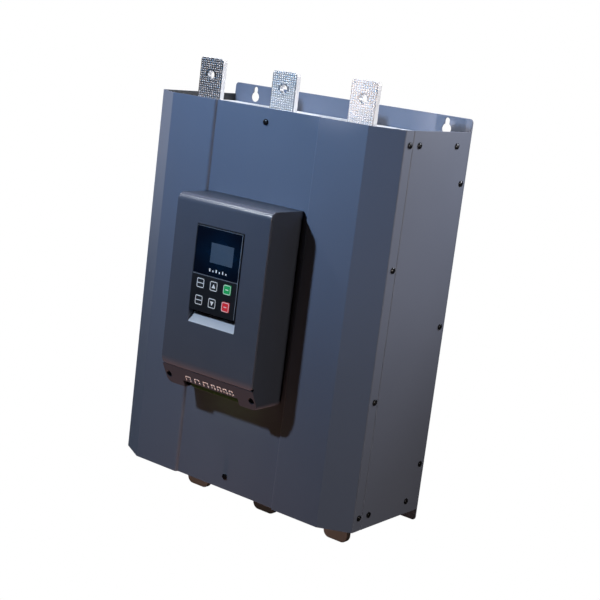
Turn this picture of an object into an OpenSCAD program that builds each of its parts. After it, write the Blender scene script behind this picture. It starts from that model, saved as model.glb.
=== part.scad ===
// Wall-mounted three-phase motor soft starter: a folded sheet enclosure, three
// thyristor stacks on live heat sinks, bus bars above and below, three fans and a
// control box with a plug-in keypad. Millimetres. The origin is the middle of the
// wall face of the back plate, -Y is the front and +Z is up.

/* [Enclosure] */
// Width across the side panels
body_w = 400; // [360:1:460]
// Height of the front cover and the side panels
body_h = 510; // [460:1:560]
// Depth from the wall to the front of the cover
body_d = 175; // [170:1:200]
// Thickness of the folded sheets
sheet_t = 1.5; // [1:0.1:2]
// Inside radius of the folds
fold_r = 0.8; // [0.4:0.1:1]
// Width of each sloped edge of the cover, seen from the front
chamfer_w = 40; // [30:1:50]
// Depth of each sloped edge of the cover
chamfer_d = 23; // [18:1:28]
// Width of the cover's strip along each side panel
cover_flange = 17; // [14:0.5:20]
// Width of the sunk band down the middle of the cover
recess_w = 172; // [166:1:190]
// Depth of the sunk band
recess_d = 4; // [4:0.5:6]
// Gap between the cover's edge and the side panel
seam_gap = 0.4; // [0.2:0.1:1]
// Distance of the top and bottom panels inside the cover's ends
end_drop = 10; // [6:1:14]
// Height of the folded edges of the top and bottom panels
end_flange = 18; // [14:1:22]
// Length of the front tab of the top and bottom panels
front_tab_w = 150; // [60:1:160]

/* [Wall mounting] */
// Thickness of the back plate
plate_t = 2; // [1.5:0.1:3]
// Height of the plate's tabs above and below the enclosure
plate_tab = 16.5; // [15:0.5:24]
// Corner radius of the back plate
plate_corner_r = 5; // [2:0.5:8]
// Spacing of the keyholes and of the bottom holes
mount_spacing = 324; // [280:1:340]
// Width of the keyholes' necks and of the bottom holes
mount_hole_d = 7; // [5:0.5:8]
// Diameter of the keyholes' round ends
keyhole_d = 14; // [11:0.5:16]
// Drop from a keyhole's neck to its round end
keyhole_drop = 11; // [10:0.5:14]
// Distance of the fixing points from the plate's ends
mount_edge = 6; // [5:0.5:8]
// Width of each leg of the side rails
rail_leg = 18; // [16:1:24]
// Distance of the rails' ends from the enclosure's ends
rail_end = 50; // [40:1:56]

/* [Screws] */
// Thread diameter of the enclosure screws
screw_d = 4; // [3:0.5:4]
// Head diameter of the enclosure screws
screw_head_d = 8; // [7:0.5:9]
// Head height of the enclosure screws
screw_head_h = 2.6; // [2:0.1:3.5]
// Thread length of the enclosure screws
screw_l = 5.5; // [4.5:0.5:6]
// Gap around a screw in its hole, across the diameter
screw_clear = 0.3; // [0.2:0.1:0.6]
// Distance of the outer pair of cover screws from the cover's ends
cover_screw_end = 18; // [14:1:30]
// Height of the inner pair of cover screws on each side
cover_screw_inner = 84; // [60:1:120]
// Distance of the outer rail screws from the rails' ends
rail_screw_end = 16; // [8:1:40]

/* [Bus bars] */
// Width of the bus bars
bar_w = 40; // [30:1:45]
// Thickness of the bus bars
bar_t = 8; // [6:0.5:10]
// Distance of the line bars behind the front of the cover
line_bar_set = 31.5; // [30:0.5:34]
// Rise of the outer line bars above the cover
line_rise = 51; // [44:0.5:80]
// How much lower the middle line bar ends
middle_drop = 4; // [0:0.5:8]
// Reach of the load bars below the cover
load_reach = 52; // [44:0.5:80]
// Hole for the cable bolt
bar_hole_d = 11; // [9:0.5:14]
// Distance of the cable hole from the bar's end
bar_hole_edge = 22.5; // [18:0.5:28]
// Corner radius of the line bars
line_corner_r = 4; // [2:0.5:8]
// Corner radius of the load bars
load_corner_r = 10; // [4:0.5:14]
// Gap around a bar where it passes an end panel
bar_window_gap = 6; // [4:0.5:7]
// Length of a bar on its heat sink
bar_seat = 50; // [44:1:54]

/* [Thyristor stacks] */
// Height of the heat sinks
sink_h = 270; // [260:1:280]
// Height of the heat sinks' middle above the enclosure's middle
sink_z = 30; // [20:1:36]
// Gap between neighbouring heat sinks
sink_gap = 17; // [10:0.5:20]
// Gap between the outer heat sinks and the side rails
sink_side_gap = 1.5; // [0.5:0.5:4]
// Thickness of a heat sink's base
sink_t = 14; // [12:0.5:16]
// Depth of the front heat sinks' fins
front_fin_d = 20; // [12:0.5:22]
// Depth of the rear heat sinks' fins
rear_fin_d = 45; // [30:1:50]
// Gap between a heat sink's fins and the nuts beside them
fin_nut_gap = 2.5; // [2:0.5:5]
// Thickness of a fin
fin_t = 3; // [2:0.5:4]
// Number of fins on a heat sink
fin_count = 8; // [5:1:9]
// Diameter of a thyristor disc
disc_d = 58; // [50:1:60]
// Thickness of a thyristor disc
disc_t = 30; // [26:1:32]
// Distance between the two discs of a stack
disc_pitch = 120; // [100:1:124]
// Diameter of an insulating post
post_d = 18; // [16:0.5:18]
// Distance of the posts from a heat sink's ends
post_edge = 20; // [16:1:24]

/* [Current transformers] */
// Width of a current transformer
ct_w = 76; // [66:1:90]
// Depth of a current transformer
ct_d = 46; // [36:1:50]
// Height of a current transformer
ct_h = 34; // [24:1:38]
// Drop from the heat sinks to the transformers
ct_drop = 42; // [38:1:46]

/* [Fans] */
// Size of a fan's square frame
fan_w = 80; // [76:1:82]
// Thickness of a fan
fan_t = 25; // [24:1:32]
// Wall between a fan's bore and its frame
fan_wall = 2; // [1.5:0.25:3]
// Gap between a fan's frame and the load bars
fan_gap = 5.5; // [4:0.5:7]
// Gap between the blade tips and the bore
blade_gap = 1; // [0.6:0.1:2]
// Number of blades
blade_count = 7; // [5:1:9]
// Diameter of a fan's hub
fan_hub_d = 34; // [30:1:40]
// Diameter of a fan's shaft
fan_shaft_d = 3; // [2:0.5:4]
// Radial gap of the shaft in its bearing
bearing_gap = 0.05; // [0.03:0.01:0.1]

/* [Trigger board] */
// Distance of the board's bridge behind the front of the cover
bridge_set = 46; // [44:0.5:50]
// Height of the bridge
bridge_h = 65; // [60:1:68]
// Drop from the heat sinks to the bridge
bridge_drop = 10; // [6:1:12]
// Depth of the bridge's end legs
bridge_leg = 20; // [14:1:24]
// Width of the trigger board
trigger_w = 300; // [280:1:340]
// Height of the trigger board
trigger_h = 56; // [52:1:58]
// Length of the board's spacers
spacer_l = 10; // [8:1:12]

/* [Control box] */
// Width of the control box
control_w = 155; // [152:1:162]
// Height of the control box
control_h = 254.5; // [246:0.5:290]
// Depth of the control box
control_d = 64; // [62:1:80]
// Height of the control box's middle above the enclosure's middle
control_z = 9.25; // [0:0.25:30]
// Wall thickness of the box
control_wall = 2.5; // [2:0.1:3]
// Thickness of the lid
lid_t = 3; // [2.5:0.1:3.5]
// Gap along the lid's edges
lid_gap = 0.5; // [0.3:0.1:1]
// Radius of the lid's top edge
lid_roll_r = 10; // [8:0.5:14]
// Height of the lid's lower edge above the bottom of the box
lid_low = 28.5; // [26:0.5:31]
// Corner radius of the lid's lower corners
lid_corner_r = 6; // [3:0.5:10]
// Corner radius of the base's lower corners
base_corner_r = 8; // [3:0.5:10]
// Height of the sloped terminal face
slope_h = 33; // [32:0.5:38]
// Depth of the sloped terminal face
slope_d = 18; // [14:0.5:20]
// Distance of the fixing screws from the box's sides
fixing_set = 6.7; // [6.5:0.1:7]
// Height of the fixing screws above the bottom of the box
fixing_z = 13; // [11:0.5:15]
// Width of the wire opening
wire_open_w = 94; // [92:1:104]
// Height of the wire opening
wire_open_h = 9.5; // [7:0.5:10]
// Width of the cable opening between the box and the enclosure
cable_open_w = 50; // [40:1:70]
// Height of the cable opening
cable_open_h = 24; // [16:1:40]
// Width of the flat cable
ribbon_w = 30; // [20:1:34]
// Thickness of the flat cable
ribbon_t = 1; // [0.8:0.1:1.4]

/* [Main board and terminals] */
// Thickness of the circuit boards
board_t = 1.6; // [1:0.1:2]
// Distance of the main board from the box's side faces
board_margin = 14; // [13.5:0.5:20]
// Length of the posts under the main board
board_post_l = 12; // [8:1:14]
// Depth of the terminal blocks
terminal_d = 22; // [16:1:24]
// Height of the terminal blocks
terminal_h = 12; // [11:0.5:14]
// Pitch of the relay terminals
relay_pitch = 7.62; // [7:0.02:7.62]
// Number of relay terminals
relay_count = 6; // [4:1:6]
// Pitch of the signal terminals
signal_pitch = 5.08; // [5:0.02:5.5]
// Number of signal terminals
signal_count = 8; // [4:1:8]
// Diameter of a terminal screw
terminal_screw_d = 3; // [2.5:0.1:3.4]

/* [Keypad] */
// Width of the keypad
keypad_w = 77; // [76:1:90]
// Height of the keypad
keypad_h = 110; // [106:1:120]
// Depth of the keypad
keypad_d = 18; // [17.6:0.1:20]
// How far the keypad stands out of the lid
keypad_proud = 1.5; // [0.5:0.1:2]
// Height of the keypad's middle above the enclosure's middle
keypad_z = 47; // [40:0.5:50]
// Gap around the keypad in its pocket
keypad_gap = 0.5; // [0.3:0.1:1]
// Wall thickness of the keypad
keypad_wall = 2; // [1.5:0.1:2.2]
// Thickness of the keypad's face
keypad_face = 2.5; // [2.4:0.1:3]
// Height of the finger notch below the keypad
notch_h = 17; // [14:0.5:20]
// Depth of the finger notch
notch_d = 11; // [8:0.5:14]
// Height of the straight gap above the notch's ramp
notch_gap = 4; // [3:0.5:6]
// Height of the display window
window_h = 60; // [54:0.5:60]
// Margin of the display window inside the keypad's edge
window_margin = 1.5; // [1.2:0.1:3]
// Thickness of the display window
window_t = 2; // [1.2:0.1:2]
// Width of the display
lcd_w = 46; // [40:1:60]
// Height of the display
lcd_h = 31; // [25:1:34]
// Thickness of the display
lcd_t = 5; // [3:0.5:6]
// Height of the display's middle above the keypad's middle
lcd_z = 23; // [22:0.5:25]
// Depth of the display's glass behind the keypad's face
lcd_set = 8; // [7:0.5:9]
// Width of a key
key_w = 12.5; // [10:0.5:13]
// Height of a key
key_h = 12.5; // [10:0.5:13]
// Distance between the key columns
key_pitch_x = 22.3; // [18:0.1:23]
// Distance between the key rows
key_pitch_z = 22.2; // [18:0.1:23]
// Drop from the keypad's middle to the middle of the keys
key_drop = 29.4; // [28:0.1:30]
// How far a key stands out of the keypad
key_proud = 0.8; // [0.4:0.1:1.5]
// Travel of a key
key_travel = 0.8; // [0.3:0.1:1.2]
// Gap around a key in its hole
key_gap = 0.3; // [0.2:0.05:0.5]

/* [Hidden] */
$fn = 48;

// Names of the pieces that can be drawn one at a time

// Small overlap that makes cuts clean and joins solid
eps = 0.5;
// Number of flats in a fold
fold_steps = 6;

// Main planes of the enclosure
half_w = body_w / 2;
half_h = body_h / 2;
front_y = -body_d;
recess_y = front_y + recess_d;
recess_inner_y = recess_y + sheet_t;
inner_x = half_w - sheet_t;
chamfer_a = atan2(chamfer_d, chamfer_w);
flange_y = front_y + chamfer_d + cover_flange;
joggle_l = 1.2 * sheet_t;
tongue_y = front_y + chamfer_d + sheet_t + 2 * fold_r + 1;
panel_y = flange_y + seam_gap + joggle_l + fold_r + sheet_t;
end_z = half_h - end_drop;

// Back plate and its fixings
plate_h = body_h + 2 * plate_tab;
mount_z = plate_h / 2 - mount_edge;
weld_stud_d = 6;
weld_stud_l = 12;

// Screw places: the cover's strips, the end panels and the rails
strip_screw_set = 6.5;
strip_screw_y = flange_y - strip_screw_set;
cover_screw_outer = half_h - cover_screw_end;
end_screw_set = 15;
end_screw_front_y = flange_y + end_screw_set;
end_screw_rear_y = -33;
end_screw_drop = 8;
end_screw_z = end_z - end_screw_drop;
rail_screw_z = half_h - rail_end - rail_screw_end;
rail_screw_y = -plate_t - rail_leg / 2;
screw_hole_d = screw_d + screw_clear;
screw_slot_w = 1.2;

// Depth of the stacks, from the line bars back to the load bars
line_y = front_y + line_bar_set;
front_base_y = line_y + bar_t;
disc_y = front_base_y + sink_t;
rear_base_y = disc_y + disc_t;
load_y = rear_base_y + sink_t;
sink_w = (2 * (inner_x - rail_leg - sink_side_gap) - 2 * sink_gap) / 3;
phase_pitch = sink_w + sink_gap;
sink_top = sink_z + sink_h / 2;
sink_low = sink_z - sink_h / 2;
seat_clear = 6;
post_x = (sink_w - post_d) / 2;
post_offset = sink_h / 2 - post_edge;
stud_d = 8;
stud_clear = 0.4;
nut_w = 15;
fin_span = 2 * (post_x - nut_w / 2 - fin_nut_gap);
nut_h = 7;
clamp_d = 10;
clamp_head_h = 7;
bar_bolt_d = 8;
bar_bolt_inset = bar_seat / 4;

// Fans stand on the bottom panel in front of the load bars
fan_y = load_y - fan_gap - fan_w / 2;
fan_z = -end_z + sheet_t;
fan_bore_d = fan_w - 2 * fan_wall;
fan_screw_set = fan_w / 2 - 4.25;
fan_base_t = 4;
fan_arm_t = 3;
fan_rotor_gap = 0.8;
fan_screw_l = 12;

// Trigger board on its bridge
bridge_y = front_y + bridge_set;
bridge_z = sink_low - bridge_drop - bridge_h / 2;
trigger_y = bridge_y - spacer_l;
spacer_d = 8;
spacer_edge = 6;
pulse_w = 20;
pulse_d = 16;

// Control box, from the sunk band forward
control_front = recess_y - control_d;
control_top = control_z + control_h / 2;
control_low = control_z - control_h / 2;
lid_z = control_low + lid_low;
slope_r = 30;
fixing_x = control_w / 2 - fixing_set;
fixing_boss_d = 11;
fixing_bore_d = screw_head_d + 0.6;
fixing_seat = control_wall + 2;
base_rim = 6;
cable_z = control_z + 10;
board_y = recess_y - control_wall - board_post_l;
board_front = board_y - board_t;
board_low = control_low + control_wall + 0.5;
board_top = control_top - 8;
board_half_w = control_w / 2 - board_margin;
board_post_d = 8;
board_post_inset = 8;

// Terminal blocks side by side on the main board
relay_w = relay_count * relay_pitch;
signal_w = signal_count * signal_pitch;
terminal_left = -(relay_w + signal_w) / 2;
terminal_z = control_low + 0.5;
terminal_screw_depth = 3;
wire_hole = 4;

// Keypad, from its face back to its rear edge
keypad_front = control_front - keypad_proud;
keypad_back = keypad_front + keypad_d;
keypad_low = keypad_z - keypad_h / 2;
pocket_wall = 2;
notch_low = keypad_low - notch_h;
pad_board_front = keypad_front + lcd_set + lcd_t;
pad_board_clear = 0.5;
pad_boss_d = 5;
window_w = keypad_w - 2 * window_margin;
window_z = keypad_z + keypad_h / 2 - window_margin - window_h / 2;
window_view = 4;
key_z = keypad_z - key_drop;
key_seat_gap = 0.1;
key_flange_t = 1.2;
key_flange_lip = 1.2;
key_stem_d = 5;
key_stem_gap = 0.3;

// Direction of a vector, its left-hand normal, and the vector turned by an angle
function unit(v) = v / norm(v);
function left_of(v) = [-v.y, v.x];
function turned(v, a) = [v.x * cos(a) - v.y * sin(a), v.x * sin(a) + v.y * cos(a)];

// Points and normals around one fold, at b on the way from a to c
function fold_at(a, b, c, r) =
    let (u = unit(b - a), w = unit(c - b))
    let (side = sign(cross(u, w)), turn = acos(u * w))
    let (centre = b - u * r * tan(turn / 2) + side * r * left_of(u))
    [for (i = [0:fold_steps])
        let (n = turned(left_of(u), side * turn * i / fold_steps))
        [centre - side * r * n, n]];

// Points and normals along the middle of a folded sheet
function folded_path(p, r) =
    let (last = len(p) - 1)
    concat(
        [[p[0], left_of(unit(p[1] - p[0]))]],
        [for (k = [1:last - 1]) each fold_at(p[k - 1], p[k], p[k + 1], r)],
        [[p[last], left_of(unit(p[last] - p[last - 1]))]]
    );

// Section of a sheet folded along the points p of its middle surface
module folded_section(p, t, r) {
    path = folded_path(p, r + t / 2);
    last = len(path) - 1;
    polygon(concat(
        [for (i = [0:last]) path[i][0] + path[i][1] * t / 2],
        [for (i = [last:-1:0]) path[i][0] - path[i][1] * t / 2]
    ));
}

// Rectangle with round corners
module round_rect(w, h, r) {
    square([w - 2 * r, h], center = true);
    square([w, h - 2 * r], center = true);
    for (x = [-1, 1], y = [-1, 1])
        translate([x * (w / 2 - r), y * (h / 2 - r)]) circle(r);
}

// Box from one corner to the opposite one
module span(a, b) {
    translate(a) cube(b - a);
}

// An outline drawn in X and Z, given depth from y0 towards the front
module upright(y0, depth) {
    translate([0, y0, 0]) rotate([90, 0, 0]) linear_extrude(depth) children();
}

// An outline drawn in Y and Z, given width along X
module sideways(width) {
    rotate([90, 0, 90]) linear_extrude(width, center = true) children();
}

// Round rod along Y from y0 to y1, and along X from x0 to x1
module rod_y(x, z, d, y0, y1) {
    translate([x, y1, z]) rotate([90, 0, 0]) cylinder(d = d, h = y1 - y0);
}
module rod_x(y, z, d, x0, x1) {
    translate([x0, y, z]) rotate([0, 90, 0]) cylinder(d = d, h = x1 - x0);
}

// Six-sided nut or bolt head along Y from y0 to y1
module hex_y(x, z, w, y0, y1) {
    translate([x, y1, z]) rotate([90, 0, 0]) cylinder(d = w, h = y1 - y0, $fn = 6);
}

// Pan head screw with a cross slot: its seat at the origin, its head towards +Z
module pan_screw(length) {
    dome_r = screw_head_d * 0.9;
    difference() {
        union() {
            translate([0, 0, -length]) cylinder(d = screw_d, h = length + eps);
            intersection() {
                cylinder(d = screw_head_d, h = screw_head_h);
                translate([0, 0, screw_head_h - dome_r]) sphere(dome_r);
            }
        }
        for (a = [0, 90])
            rotate(a) translate([0, 0, screw_head_h])
                cube([screw_head_d * 0.6, screw_slot_w, screw_head_h], center = true);
    }
}

// Back plate: keyholes at the top, round holes at the bottom
module back_plate() {
    color("slategray") upright(0, plate_t) difference() {
        round_rect(body_w, plate_h, plate_corner_r);
        for (s = [-1, 1]) translate([s * mount_spacing / 2, 0]) {
            translate([0, mount_z]) circle(d = mount_hole_d);
            translate([0, -mount_z]) circle(d = mount_hole_d);
            translate([0, mount_z - keyhole_drop]) circle(d = keyhole_d);
            translate([-mount_hole_d / 2, mount_z - keyhole_drop])
                square([mount_hole_d, keyhole_drop]);
        }
    }
}

// Places of the posts behind all three stacks
function phase_x(i) = (i - 2) * phase_pitch;
function post_places_x() = [for (i = [1:3], s = [-1, 1]) phase_x(i) + s * post_x];
function post_places_z() = [for (s = [-1, 1]) sink_z + s * post_offset];

// Angle rails, welded to the back plate, that the side panels are screwed to
module side_rails() {
    color("slategray") for (s = [0, 1]) mirror([s, 0, 0]) difference() {
        union() {
            span([inner_x - rail_leg, -plate_t - sheet_t, -half_h + rail_end],
                 [inner_x, -plate_t, half_h - rail_end]);
            span([inner_x - sheet_t, -plate_t - rail_leg, -half_h + rail_end],
                 [inner_x, -plate_t, half_h - rail_end]);
        }
        for (z = [-rail_screw_z, 0, rail_screw_z])
            rod_x(rail_screw_y, z, screw_hole_d, inner_x - 2 * sheet_t, half_w);
    }
}

// Places in Y and Z of the screws on one side of the enclosure
function strip_screws() = [for (z = [cover_screw_outer, cover_screw_inner], s = [-1, 1])
    [strip_screw_y, s * z]];
function end_screws() = [for (y = [end_screw_front_y, end_screw_rear_y], s = [-1, 1])
    [y, s * end_screw_z]];
function rail_screws() = [for (z = [-rail_screw_z, 0, rail_screw_z]) [rail_screw_y, z]];

// Right side panel, set in behind the cover's strip at its front edge
module side_panel() {
    color("slategray") difference() {
        linear_extrude(body_h, center = true) folded_section([
            [inner_x - sheet_t / 2, tongue_y],
            [inner_x - sheet_t / 2, flange_y + seam_gap],
            [half_w - sheet_t / 2, flange_y + seam_gap + joggle_l],
            [half_w - sheet_t / 2, -plate_t]
        ], sheet_t, fold_r);
        for (p = concat(strip_screws(), end_screws(), rail_screws()))
            rod_x(p.x, p.y, screw_hole_d, inner_x - 2 * sheet_t, half_w + eps);
    }
}
module right_side_panel() {
    side_panel();
}
module left_side_panel() {
    mirror([1, 0, 0]) side_panel();
}

// Blank of an end panel with its flat face up: side edges and front tab folded down
module end_panel_blank() {
    front_half = half_w - 2 * sheet_t - seam_gap;
    wing_x = half_w - chamfer_w;
    right = [
        [wing_x, recess_inner_y], [front_half, tongue_y + sheet_t],
        [front_half, panel_y], [inner_x, panel_y], [inner_x, -plate_t]
    ];
    translate([0, 0, end_z - sheet_t]) linear_extrude(sheet_t)
        polygon(concat(right, [for (i = [4:-1:0]) [-right[i].x, right[i].y]]));
    for (s = [0, 1]) mirror([s, 0, 0])
        span([inner_x - sheet_t, panel_y, end_z - end_flange],
             [inner_x, -plate_t - rail_leg / 2, end_z]);
    span([-front_tab_w / 2, recess_inner_y, end_z - end_flange],
         [front_tab_w / 2, recess_inner_y + sheet_t, end_z]);
}

// Holes for the screws through the side edges and the front tab of an end panel
module end_panel_holes() {
    for (p = end_screws()) if (p.y > 0)
        rod_x(p.x, p.y, screw_hole_d, -half_w, half_w);
    rod_y(0, end_screw_z, screw_hole_d, recess_y, recess_inner_y + 2 * sheet_t);
}

// Windows for three bars in an end panel, around bars whose front face is at y
module bar_windows(y) {
    for (i = [1:3])
        translate([phase_x(i), y + bar_t / 2, end_z])
            cube([bar_w + 2 * bar_window_gap, bar_t + 2 * bar_window_gap, 4 * sheet_t],
                 center = true);
}

// Row of air slots along X at one phase, from y0 back to y1
module air_slots(y0, y1, count) {
    slot_w = 5;
    slot_pitch = 10;
    for (k = [0:count - 1])
        translate([(k - (count - 1) / 2) * slot_pitch, 0, end_z])
            linear_extrude(4 * sheet_t, center = true) {
                translate([-slot_w / 2, y0 + slot_w / 2]) square([slot_w, y1 - y0 - slot_w]);
                for (y = [y0 + slot_w / 2, y1 - slot_w / 2]) translate([0, y]) circle(d = slot_w);
            }
}

// Top panel: windows for the line bars and air slots behind them
module top_panel() {
    vent_y0 = line_y + bar_t + bar_window_gap + 10;
    vent_y1 = -plate_t - 8;
    vent_mid = (vent_y0 + vent_y1) / 2;
    color("slategray") difference() {
        end_panel_blank();
        end_panel_holes();
        bar_windows(line_y);
        for (i = [1:3]) translate([phase_x(i), 0, 0]) {
            air_slots(vent_y0, vent_mid - 4, 6);
            air_slots(vent_mid + 4, vent_y1, 6);
        }
    }
}

// Bottom panel: windows for the load bars, air slots and screw holes under the fans
module bottom_panel() {
    color("slategray") mirror([0, 0, 1]) difference() {
        end_panel_blank();
        end_panel_holes();
        bar_windows(load_y);
        for (i = [1:3]) translate([phase_x(i), 0, 0]) {
            air_slots(fan_y - fan_w / 2 + 12, fan_y - 3, 6);
            air_slots(fan_y + 3, fan_y + fan_w / 2 - 12, 6);
        }
        for (p = fan_screw_places())
            translate([p.x, p.y, end_z]) cylinder(d = screw_hole_d, h = 4 * sheet_t, center = true);
    }
}

// Front cover: one sheet, with a sunk band, sloped edges and strips along the sides
module front_cover() {
    mid = sheet_t / 2;
    right = [
        [half_w - mid, flange_y],
        [half_w - mid, front_y + chamfer_d + mid * tan((90 - chamfer_a) / 2)],
        [half_w - chamfer_w - mid * tan(chamfer_a / 2), front_y + mid],
        [recess_w / 2, front_y + mid],
        [recess_w / 2, recess_y + mid]
    ];
    color("lightslategray") difference() {
        linear_extrude(body_h, center = true)
            folded_section(
                concat(right, [for (i = [4:-1:0]) [-right[i].x, right[i].y]]), sheet_t, fold_r);
        for (p = strip_screws()) rod_x(p.x, p.y, screw_hole_d, -half_w - eps, half_w + eps);
        for (s = [-1, 1])
            rod_y(0, s * end_screw_z, screw_hole_d, recess_y - eps, recess_inner_y + eps);
        for (s = [-1, 1])
            rod_y(s * fixing_x, control_low + fixing_z, screw_hole_d,
                  recess_y - eps, recess_inner_y + eps);
        span([-cable_open_w / 2, recess_y - eps, cable_z - cable_open_h / 2],
             [cable_open_w / 2, recess_inner_y + eps, cable_z + cable_open_h / 2]);
    }
}

// Screws of the right-hand side of the enclosure
module panel_screws() {
    color("black") for (p = concat(strip_screws(), end_screws(), rail_screws()))
        translate([half_w, p.x, p.y]) rotate([0, 90, 0]) pan_screw(screw_l);
}
module right_panel_screws() {
    panel_screws();
}
module left_panel_screws() {
    mirror([1, 0, 0]) panel_screws();
}

// Two screws that hold the cover's band to the end panels
module cover_screws() {
    color("black") for (s = [-1, 1])
        translate([0, recess_y, s * end_screw_z]) rotate([90, 0, 0]) pan_screw(screw_l);
}

// Outline of a bar in X and Z: round corners and a hole at its far end, away from z0
module bar_outline(z0, z1, r) {
    way = sign(z1 - z0);
    difference() {
        union() {
            translate([-bar_w / 2, min(z0, z1 - way * r)]) square([bar_w, abs(z1 - way * r - z0)]);
            translate([-bar_w / 2 + r, min(z0, z1)]) square([bar_w - 2 * r, abs(z1 - z0)]);
            for (s = [-1, 1]) translate([s * (bar_w / 2 - r), z1 - way * r]) circle(r);
        }
        translate([0, z1 - way * bar_hole_edge]) circle(d = bar_hole_d);
        for (s = [1, 3]) translate([0, z0 + way * s * bar_bolt_inset]) circle(d = bar_bolt_d + stud_clear);
    }
}

// Line bar of phase i, bolted to its front heat sink and standing out at the top
module line_bar(i) {
    top = half_h + line_rise - (i == 2 ? middle_drop : 0);
    color("silver") translate([phase_x(i), 0, 0])
        upright(line_y + bar_t, bar_t) bar_outline(sink_top - bar_seat, top, line_corner_r);
}

// Load bar of phase i, bolted to its rear heat sink and standing out at the bottom
module load_bar(i) {
    color("silver") translate([phase_x(i), 0, 0])
        upright(load_y + bar_t, bar_t)
            bar_outline(sink_low + bar_seat, -half_h - load_reach, load_corner_r);
}

// Base of a heat sink with its front face at y, drilled for clamp bolts
module sink_base(y) {
    difference() {
        span([-sink_w / 2, y, sink_low], [sink_w / 2, y + sink_t, sink_top]);
        for (s = [-1, 1], t = [-1, 1])
            rod_y(s * post_x, sink_z + t * disc_pitch / 2, clamp_d + stud_clear, y - eps, y + sink_t + eps);
    }
}

// Fins across a heat sink, from y0 to y1 and z0 to z1
module fins(y0, y1, z0, z1) {
    step = (fin_span - fin_t) / (fin_count - 1);
    for (k = [0:fin_count - 1]) {
        x = -fin_span / 2 + k * step;
        span([x, y0, z0], [x + fin_t, y1, z1]);
    }
}

// Front heat sink of phase i: fins towards the cover, cut short for the line bar
module front_sink(i) {
    color("gainsboro") translate([phase_x(i), 0, 0]) difference() {
        union() {
            sink_base(front_base_y);
            fins(front_base_y - front_fin_d, front_base_y + eps, sink_low, sink_top - bar_seat - seat_clear);
        }
        for (s = [1, 3])
            rod_y(0, sink_top - bar_seat + s * bar_bolt_inset, bar_bolt_d + stud_clear,
                  front_base_y - eps, front_base_y + sink_t + eps);
    }
}

// Rear heat sink of phase i: fins towards the wall, cut short for the load bar
module rear_sink(i) {
    color("gainsboro") translate([phase_x(i), 0, 0]) difference() {
        union() {
            sink_base(rear_base_y);
            fins(load_y - eps, load_y + rear_fin_d, sink_low + bar_seat + seat_clear, sink_top);
        }
        for (s = [1, 3])
            rod_y(0, sink_low + bar_seat - s * bar_bolt_inset, bar_bolt_d + stud_clear,
                  rear_base_y - eps, load_y + eps);
        for (s = [-1, 1], z = post_places_z())
            rod_y(s * post_x, z, stud_d + stud_clear, rear_base_y - eps, load_y + eps);
    }
}

// Two disc thyristors in each stack, between the two heat sinks
module thyristor_discs() {
    pole_d = 36;
    rim_t = 1.6;
    rim_set = 3;
    color("ivory") for (i = [1:3], s = [-1, 1]) {
        x = phase_x(i);
        z = sink_z + s * disc_pitch / 2;
        rod_y(x, z, pole_d, disc_y, rear_base_y);
        rod_y(x, z, disc_d - 8, disc_y + rim_set, rear_base_y - rim_set);
        rod_y(x, z, disc_d, disc_y + rim_set, disc_y + rim_set + rim_t);
        rod_y(x, z, disc_d, rear_base_y - rim_set - rim_t, rear_base_y - rim_set);
    }
}

// Clamp bolts on both sides of each disc, with head and nut
module stack_bolts() {
    color("gray") for (i = [1:3], s = [-1, 1], t = [-1, 1]) {
        x = phase_x(i) + s * post_x;
        z = sink_z + t * disc_pitch / 2;
        rod_y(x, z, clamp_d, front_base_y - eps, load_y + eps);
        hex_y(x, z, nut_w, front_base_y - clamp_head_h, front_base_y);
        hex_y(x, z, nut_w, load_y, load_y + clamp_head_h);
    }
}

// Insulating posts between the back plate and the rear heat sinks, with a stud each
module stack_posts() {
    color("firebrick") for (x = post_places_x(), z = post_places_z()) difference() {
        union() {
            rod_y(x, z, post_d, load_y, -plate_t);
            rod_y(x, z, stud_d, rear_base_y - nut_h, load_y + eps);
        }
        rod_y(x, z, weld_stud_d + stud_clear, -plate_t - weld_stud_l - 1, -plate_t + eps);
    }
}

// Studs welded to the back plate, which the posts are screwed onto
module weld_studs() {
    color("gray") for (x = post_places_x(), z = post_places_z())
        rod_y(x, z, weld_stud_d, -plate_t - weld_stud_l, -plate_t);
}

// Nuts on the posts' studs
module post_nuts() {
    color("gray") for (x = post_places_x(), z = post_places_z()) difference() {
        hex_y(x, z, nut_w, rear_base_y - nut_h, rear_base_y);
        rod_y(x, z, stud_d + stud_clear, rear_base_y - nut_h - eps, rear_base_y + eps);
    }
}

// Bolts that fix the bars to the heat sinks: line bars from the front, load bars from behind
module bar_bolts() {
    color("gray") for (i = [1:3], s = [1, 3]) {
        x = phase_x(i);
        line_z = sink_top - bar_seat + s * bar_bolt_inset;
        load_z = sink_low + bar_seat - s * bar_bolt_inset;
        hex_y(x, line_z, nut_w, line_y - bar_bolt_d * 0.65, line_y);
        rod_y(x, line_z, bar_bolt_d, line_y - eps, front_base_y + sink_t);
        hex_y(x, load_z, nut_w, load_y + bar_t, load_y + bar_t + bar_bolt_d * 0.65);
        rod_y(x, load_z, bar_bolt_d, rear_base_y, load_y + bar_t + eps);
    }
}

// Current transformer of phase i, a block slipped over the load bar
module current_transformer(i) {
    top = sink_low - ct_drop;
    mid_y = load_y + bar_t / 2;
    color("dimgray") translate([phase_x(i), mid_y, top - ct_h / 2]) difference() {
        cube([ct_w, ct_d, ct_h], center = true);
        cube([bar_w, bar_t, ct_h + 2 * eps], center = true);
    }
}

// Places of the fan screws on the bottom panel
function fan_screw_places() = [for (i = [1:3], s = [-1, 1], t = [-1, 1])
    [phase_x(i) + s * fan_screw_set, fan_y + t * fan_screw_set]];

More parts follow.
